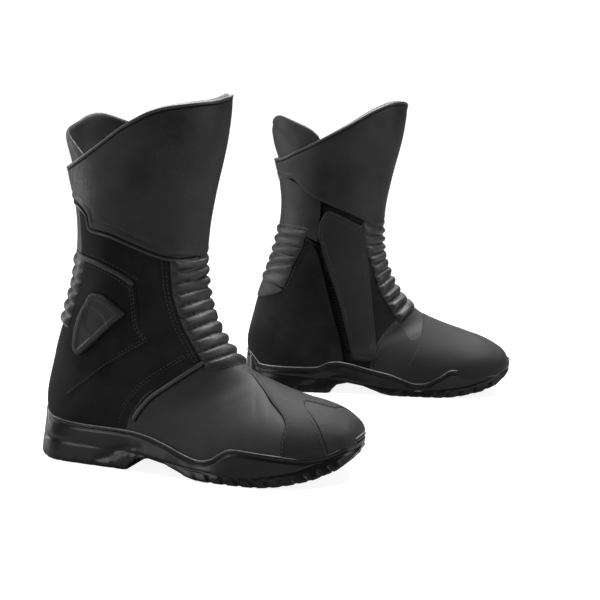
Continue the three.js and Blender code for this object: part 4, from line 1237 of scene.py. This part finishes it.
waveLateral = smoothLine([(-12, 45), (2, 42), (14, 38), (46, 36), (82, 35.5), (112, 33.5), (138, 27), (158, 20),
                          (173, 17), (185, 19.5), (195, 26), (204, 30.3), (221, 30), (243, 28.3), (262, 25.8),
                          (274, 25.2), (285, 26.6), (293, 29.8), (301.5, 36), (318, 48)], 3)
waveMedial = smoothLine([(-12, 45), (2, 41), (12, 33), (22, 28.5), (80, 28.5), (92, 31), (101, 35), (118, 35.5),
                         (151, 28), (171, 23.8), (191, 16.7), (200, 14.6), (211.6, 15.7), (221.6, 20.2),
                         (231.5, 26.3), (238, 31), (251, 31.3), (271, 28.9), (285, 28), (292.6, 29.2),
                         (298, 33), (318, 48)], 3)
soleSettings = {"around": 900, "wallRows": 16, "treadRows": 26, "lug": 13.5, "heelSlot": 19.0,
                "heelLug": 17.0, "depth": 3.4}


def closedSpline(line, count):
    p = np.asarray(line, float)
    wrapped = np.vstack([p[-2:], p, p[:3]])
    fine = smoothLine(wrapped, 0.8)
    run = np.r_[0, np.cumsum(np.linalg.norm(np.diff(fine, axis=0), axis=1))]
    start = np.argmin(np.linalg.norm(fine[:len(fine) // 4] - p[0], axis=1))
    stop = len(fine) - 1 - np.argmin(np.linalg.norm(fine[::-1][:len(fine) // 4] - p[0], axis=1))
    at = np.linspace(run[start], run[stop], count + 1)[:-1]
    return np.column_stack([np.interp(at, run, fine[:, k]) for k in range(2)])


def soleShape():
    ring = closedSpline(soleOutline, soleSettings["around"])
    along = np.roll(ring, -1, axis=0) - np.roll(ring, 1, axis=0)
    along /= np.linalg.norm(along, axis=1)[:, None]
    out = np.column_stack([along[:, 1], -along[:, 0]])
    x, y = ring.T
    w = smoothStep(-9, 9, y)
    lip = lineHeight(waveLateral, x) * (1 - w) + lineHeight(waveMedial, x) * w
    ground = lineHeight(groundLine, x)
    platform = lineHeight(platformLine, x)
    # how far the wall stands off the upper, evened out over its neighbours
    reach = []
    beyond, even = 6, 7
    for (px, py), (ox, oy), z in zip(ring, out, lip):
        start = Vector((px + ox * beyond, py + oy * beyond, z - 1.0))
        hit, _, _, distance = lastTree.ray_cast(start, Vector((-ox, -oy, 0)))
        reach.append(distance - beyond if hit is not None else 5.0)
    reach = np.clip(np.array(reach), 2.6, 12)
    kernel = np.ones(2 * even + 1) / (2 * even + 1)
    reach = np.convolve(np.r_[reach[-even:], reach, reach[:even]], kernel, "valid")
    run = np.arange(len(ring)) * np.linalg.norm(ring[1] - ring[0])
    wallTop = lip - 4.2
    wallLow = ground + 2.0
    # the lip's rolled section, from inside over the top to the wall: inset, height
    lipRoll = [(1.5, -0.6), (0.3, -0.1), (-0.8, 0.35), (-1.8, 0.2), (-2.3, -0.7), (-2.2, -1.9), (-1.5, -2.5),
               (-1.2, -3.1), (-1.7, -3.7), (-2.2, -4.2)]
    rows = [(reach + inward, lip + high) for inward, high in lipRoll]
    wallRows = soleSettings["wallRows"]
    ball = smoothStep(168, 186, x) * smoothStep(304, 286, x)
    heel = smoothStep(2, 14, x) * smoothStep(104, 92, x)
    for k in range(1, wallRows + 1):
        t = k / wallRows
        z = wallTop + (wallLow - wallTop) * t
        inset = (reach - 2.2) * (1 - t) ** 1.6
        # the seam between wall and tread, and the wall's shallow waist
        seam = ridge(z - platform + 4.5, 0, 0.9, 0.9)
        waist = 0.8 * np.sin(np.clip((z - ground) / np.maximum(wallTop - ground, 1), 0, 1) * math.pi)
        arch = smoothStep(104, 116, x) * smoothStep(166, 152, x)
        # slots cut up from the tread at ball and heel, and a curved hollow at the heel's front
        low = np.clip((z - ground) / 9.0, 0, 1)
        slots = np.cos((run + z * 0.9) * 2 * math.pi / soleSettings["lug"]) > 0.62
        slots = slots * ball * (1 - smoothStep(0.55, 0.8, low))
        heelSlots = np.cos(run * 2 * math.pi / soleSettings["heelSlot"]) > 0.8
        heelSlots = heelSlots * heel * (1 - smoothStep(0.5, 0.7, low))
        crescent = 1.2 * np.exp(-(((x - 88 - (z - 14) * 1.6) / 9.0) ** 2))
        crescent = crescent * smoothStep(5, 8, z) * smoothStep(24, 20, z)
        rows.append((inset + seam + waist + arch * 1.5 * t + slots * 1.9 + heelSlots * 0.5 + crescent, z))
    rows.append((rows[-1][0] + 0.5, ground + 0.9))
    rows.append((rows[-2][0] + 1.6, ground + 0.1))
    verts = [np.column_stack([ring - out * inset[:, None], z]) for inset, z in rows]
    # tread: rings shrinking to the sole's middle line, with angled lugs
    base = verts[-1][:, :2]
    middleX = np.clip(base[:, 0], 34, 262)
    middleY = np.interp(middleX, [34, 120, 200, 262], [0, -1, -2, 5])
    centre = np.column_stack([middleX, middleY])
    for k in range(1, soleSettings["treadRows"] + 1):
        t = k / soleSettings["treadRows"]
        flat = base * (1 - t) + centre * t
        fx, fy = flat.T
        z = lineHeight(groundLine, fx) + 0.05
        zigzag = fx + 0.55 * np.abs(fy)
        front = (np.cos(zigzag * 2 * math.pi / soleSettings["lug"]) > 0.6) * smoothStep(168, 176, fx)
        back = np.cos(fx * 2 * math.pi / soleSettings["heelLug"]) > 0.7
        back = back * smoothStep(100, 94, fx) * smoothStep(12, 18, fx)
        channel = np.abs(fy - np.interp(fx, [34, 262], [0, 4])) < 2.2
        channel = channel * (smoothStep(168, 176, fx) + smoothStep(100, 94, fx))
        groove = np.clip(np.maximum(np.maximum(front, back), channel), 0, 1)
        verts.append(np.column_stack([fx, fy, z + groove * soleSettings["depth"]]))
    faces = gridFaces(len(verts), len(ring))
    # a line just inside the lip's top, where the bead with the painted highlight runs
    highlightPath = np.column_stack([ring - out * (reach - 1.3)[:, None], lip + 0.4])[::2]
    return np.concatenate(verts), faces, highlightPath


soleVerts, soleFaces, lipHighlightPath = soleShape()
addPiece("sole", (soleVerts, soleFaces), "sole rubber", ["outsole", "rand"], "foot")
# a thin light grey bead on the lip's top, coloured as a painted highlight of the glossy lip
highlightUp = np.tile([0.0, 0.0, 1.0], (len(lipHighlightPath), 1))
addPiece("sole_lip_highlight", sweep(lipHighlightPath, highlightUp, 0.6, 0.5, 8, True), "lip painted highlight", body="foot")
print("sole moulded")

# carried-over frame parts keep their shape and get their finish
kept = {
    "insole_board": "stiff board", "shank": "spring steel", "footbed": "lining cloth",
    "toe_puff": "stiff board",
    "heel_counter": "stiff board", "loop_strip": "zip cloth", "hook_strip": "zip cloth",
    "zip_slider": "black metal", "zip_puller": "black metal",
}
metalEdge = {"nodes": ("zip_slider", "zip_puller"), "width": 0.18}
for side in sideNames:
    for node, finish in kept.items():
        part = frame["nodes"][f"{side}_{node}"]
        for materialSlot in part.material_slots:
            materialSlot.material = materials[finish]
        if node in metalEdge["nodes"]:
            bevel = part.modifiers.new("soft edges", "BEVEL")
            bevel.width = metalEdge["width"] * mm
            bevel.segments = 2
            bevel.limit_method = "ANGLE"
print("kept parts finished")


# studio
stageSettings = {"half": 9.0, "drop": 0.0004, "dark": (0.27, 0.27, 0.27), "light": (0.29, 0.29, 0.29),
                 "glow": 0.9}
stageProfile = [(-9.0, 0), (-1.0, 0), (0.8, 0), (1.6, 0), (2.2, 0.06), (2.7, 0.3), (3.0, 0.8),
                (3.1, 1.6), (3.1, 3.4)]


def stageMaterial():
    # pale floor that also glows a little towards the camera, which keeps the background near white
    material, nodes, links, shader = newMaterial("studio floor")
    place = nodes.new("ShaderNodeTexCoord").outputs["Object"]
    tone = noiseNode(nodes, links, place, 3.0, 2.0)
    pale = mixColor(nodes, links, tone, stageSettings["dark"], stageSettings["light"])
    links.new(pale, shader.inputs["Base Color"])
    seen = nodes.new("ShaderNodeLightPath").outputs["Is Camera Ray"]
    shader.inputs["Emission Color"].default_value = (1, 1, 1, 1)
    glow = mathNode(nodes, links, "MULTIPLY", seen, stageSettings["glow"])
    links.new(glow, shader.inputs["Emission Strength"])
    shader.inputs["Roughness"].default_value = 0.55
    shader.inputs["Specular IOR Level"].default_value = 0.15
    return material


def addStage():
    half = stageSettings["half"]
    verts = np.array([(x, y, z) for y, z in stageProfile for x in (-half, half)])
    verts[:, 2] -= stageSettings["drop"]
    faces = np.array([(2 * i, 2 * i + 1, 2 * i + 3, 2 * i + 2) for i in range(len(stageProfile) - 1)])
    meshObject("studio_floor", verts, faces, stageMaterial())


# each light's place, aim, size and power
lightSettings = {
    "top_soft": ((0.05, 0.2, 1.75), (0, 0.03, 0), (1.6, 1.2), 88),
    "right_soft": ((1.7, -0.8, 0.9), (0, 0, 0.15), (0.7, 1.4), 11),
    "left_soft": ((-1.6, -1.0, 0.8), (-0.05, 0, 0.15), (0.6, 1.3), 8),
    "back_soft": ((0.2, 1.7, 1.3), (0, 0.1, 0.2), (2.0, 0.8), 16),
    "rim_soft": ((-1.5, 0.5, 0.5), (-0.05, 0, 0.15), (0.35, 1.2), 10),
}
worldStrength = 0.11


def addLight(name, place, aim, size, power):
    data = bpy.data.lights.new(name, "AREA")
    data.shape = "RECTANGLE"
    data.size, data.size_y = size
    data.energy = power
    light = bpy.data.objects.new(name, data)
    light.location = place
    light.rotation_euler = (Vector(aim) - Vector(place)).to_track_quat("-Z", "Y").to_euler()
    bpy.context.scene.collection.objects.link(light)


def addWorld():
    world = bpy.data.worlds.new("studio")
    world.use_nodes = True
    background = world.node_tree.nodes["Background"]
    background.inputs["Color"].default_value = (1, 1, 1, 1)
    background.inputs["Strength"].default_value = worldStrength
    bpy.context.scene.world = world


addStage()
for lightName, lightLook in lightSettings.items():
    addLight(lightName, *lightLook)
addWorld()
bpy.context.scene.view_settings.view_transform = "Standard"
print("studio lit")
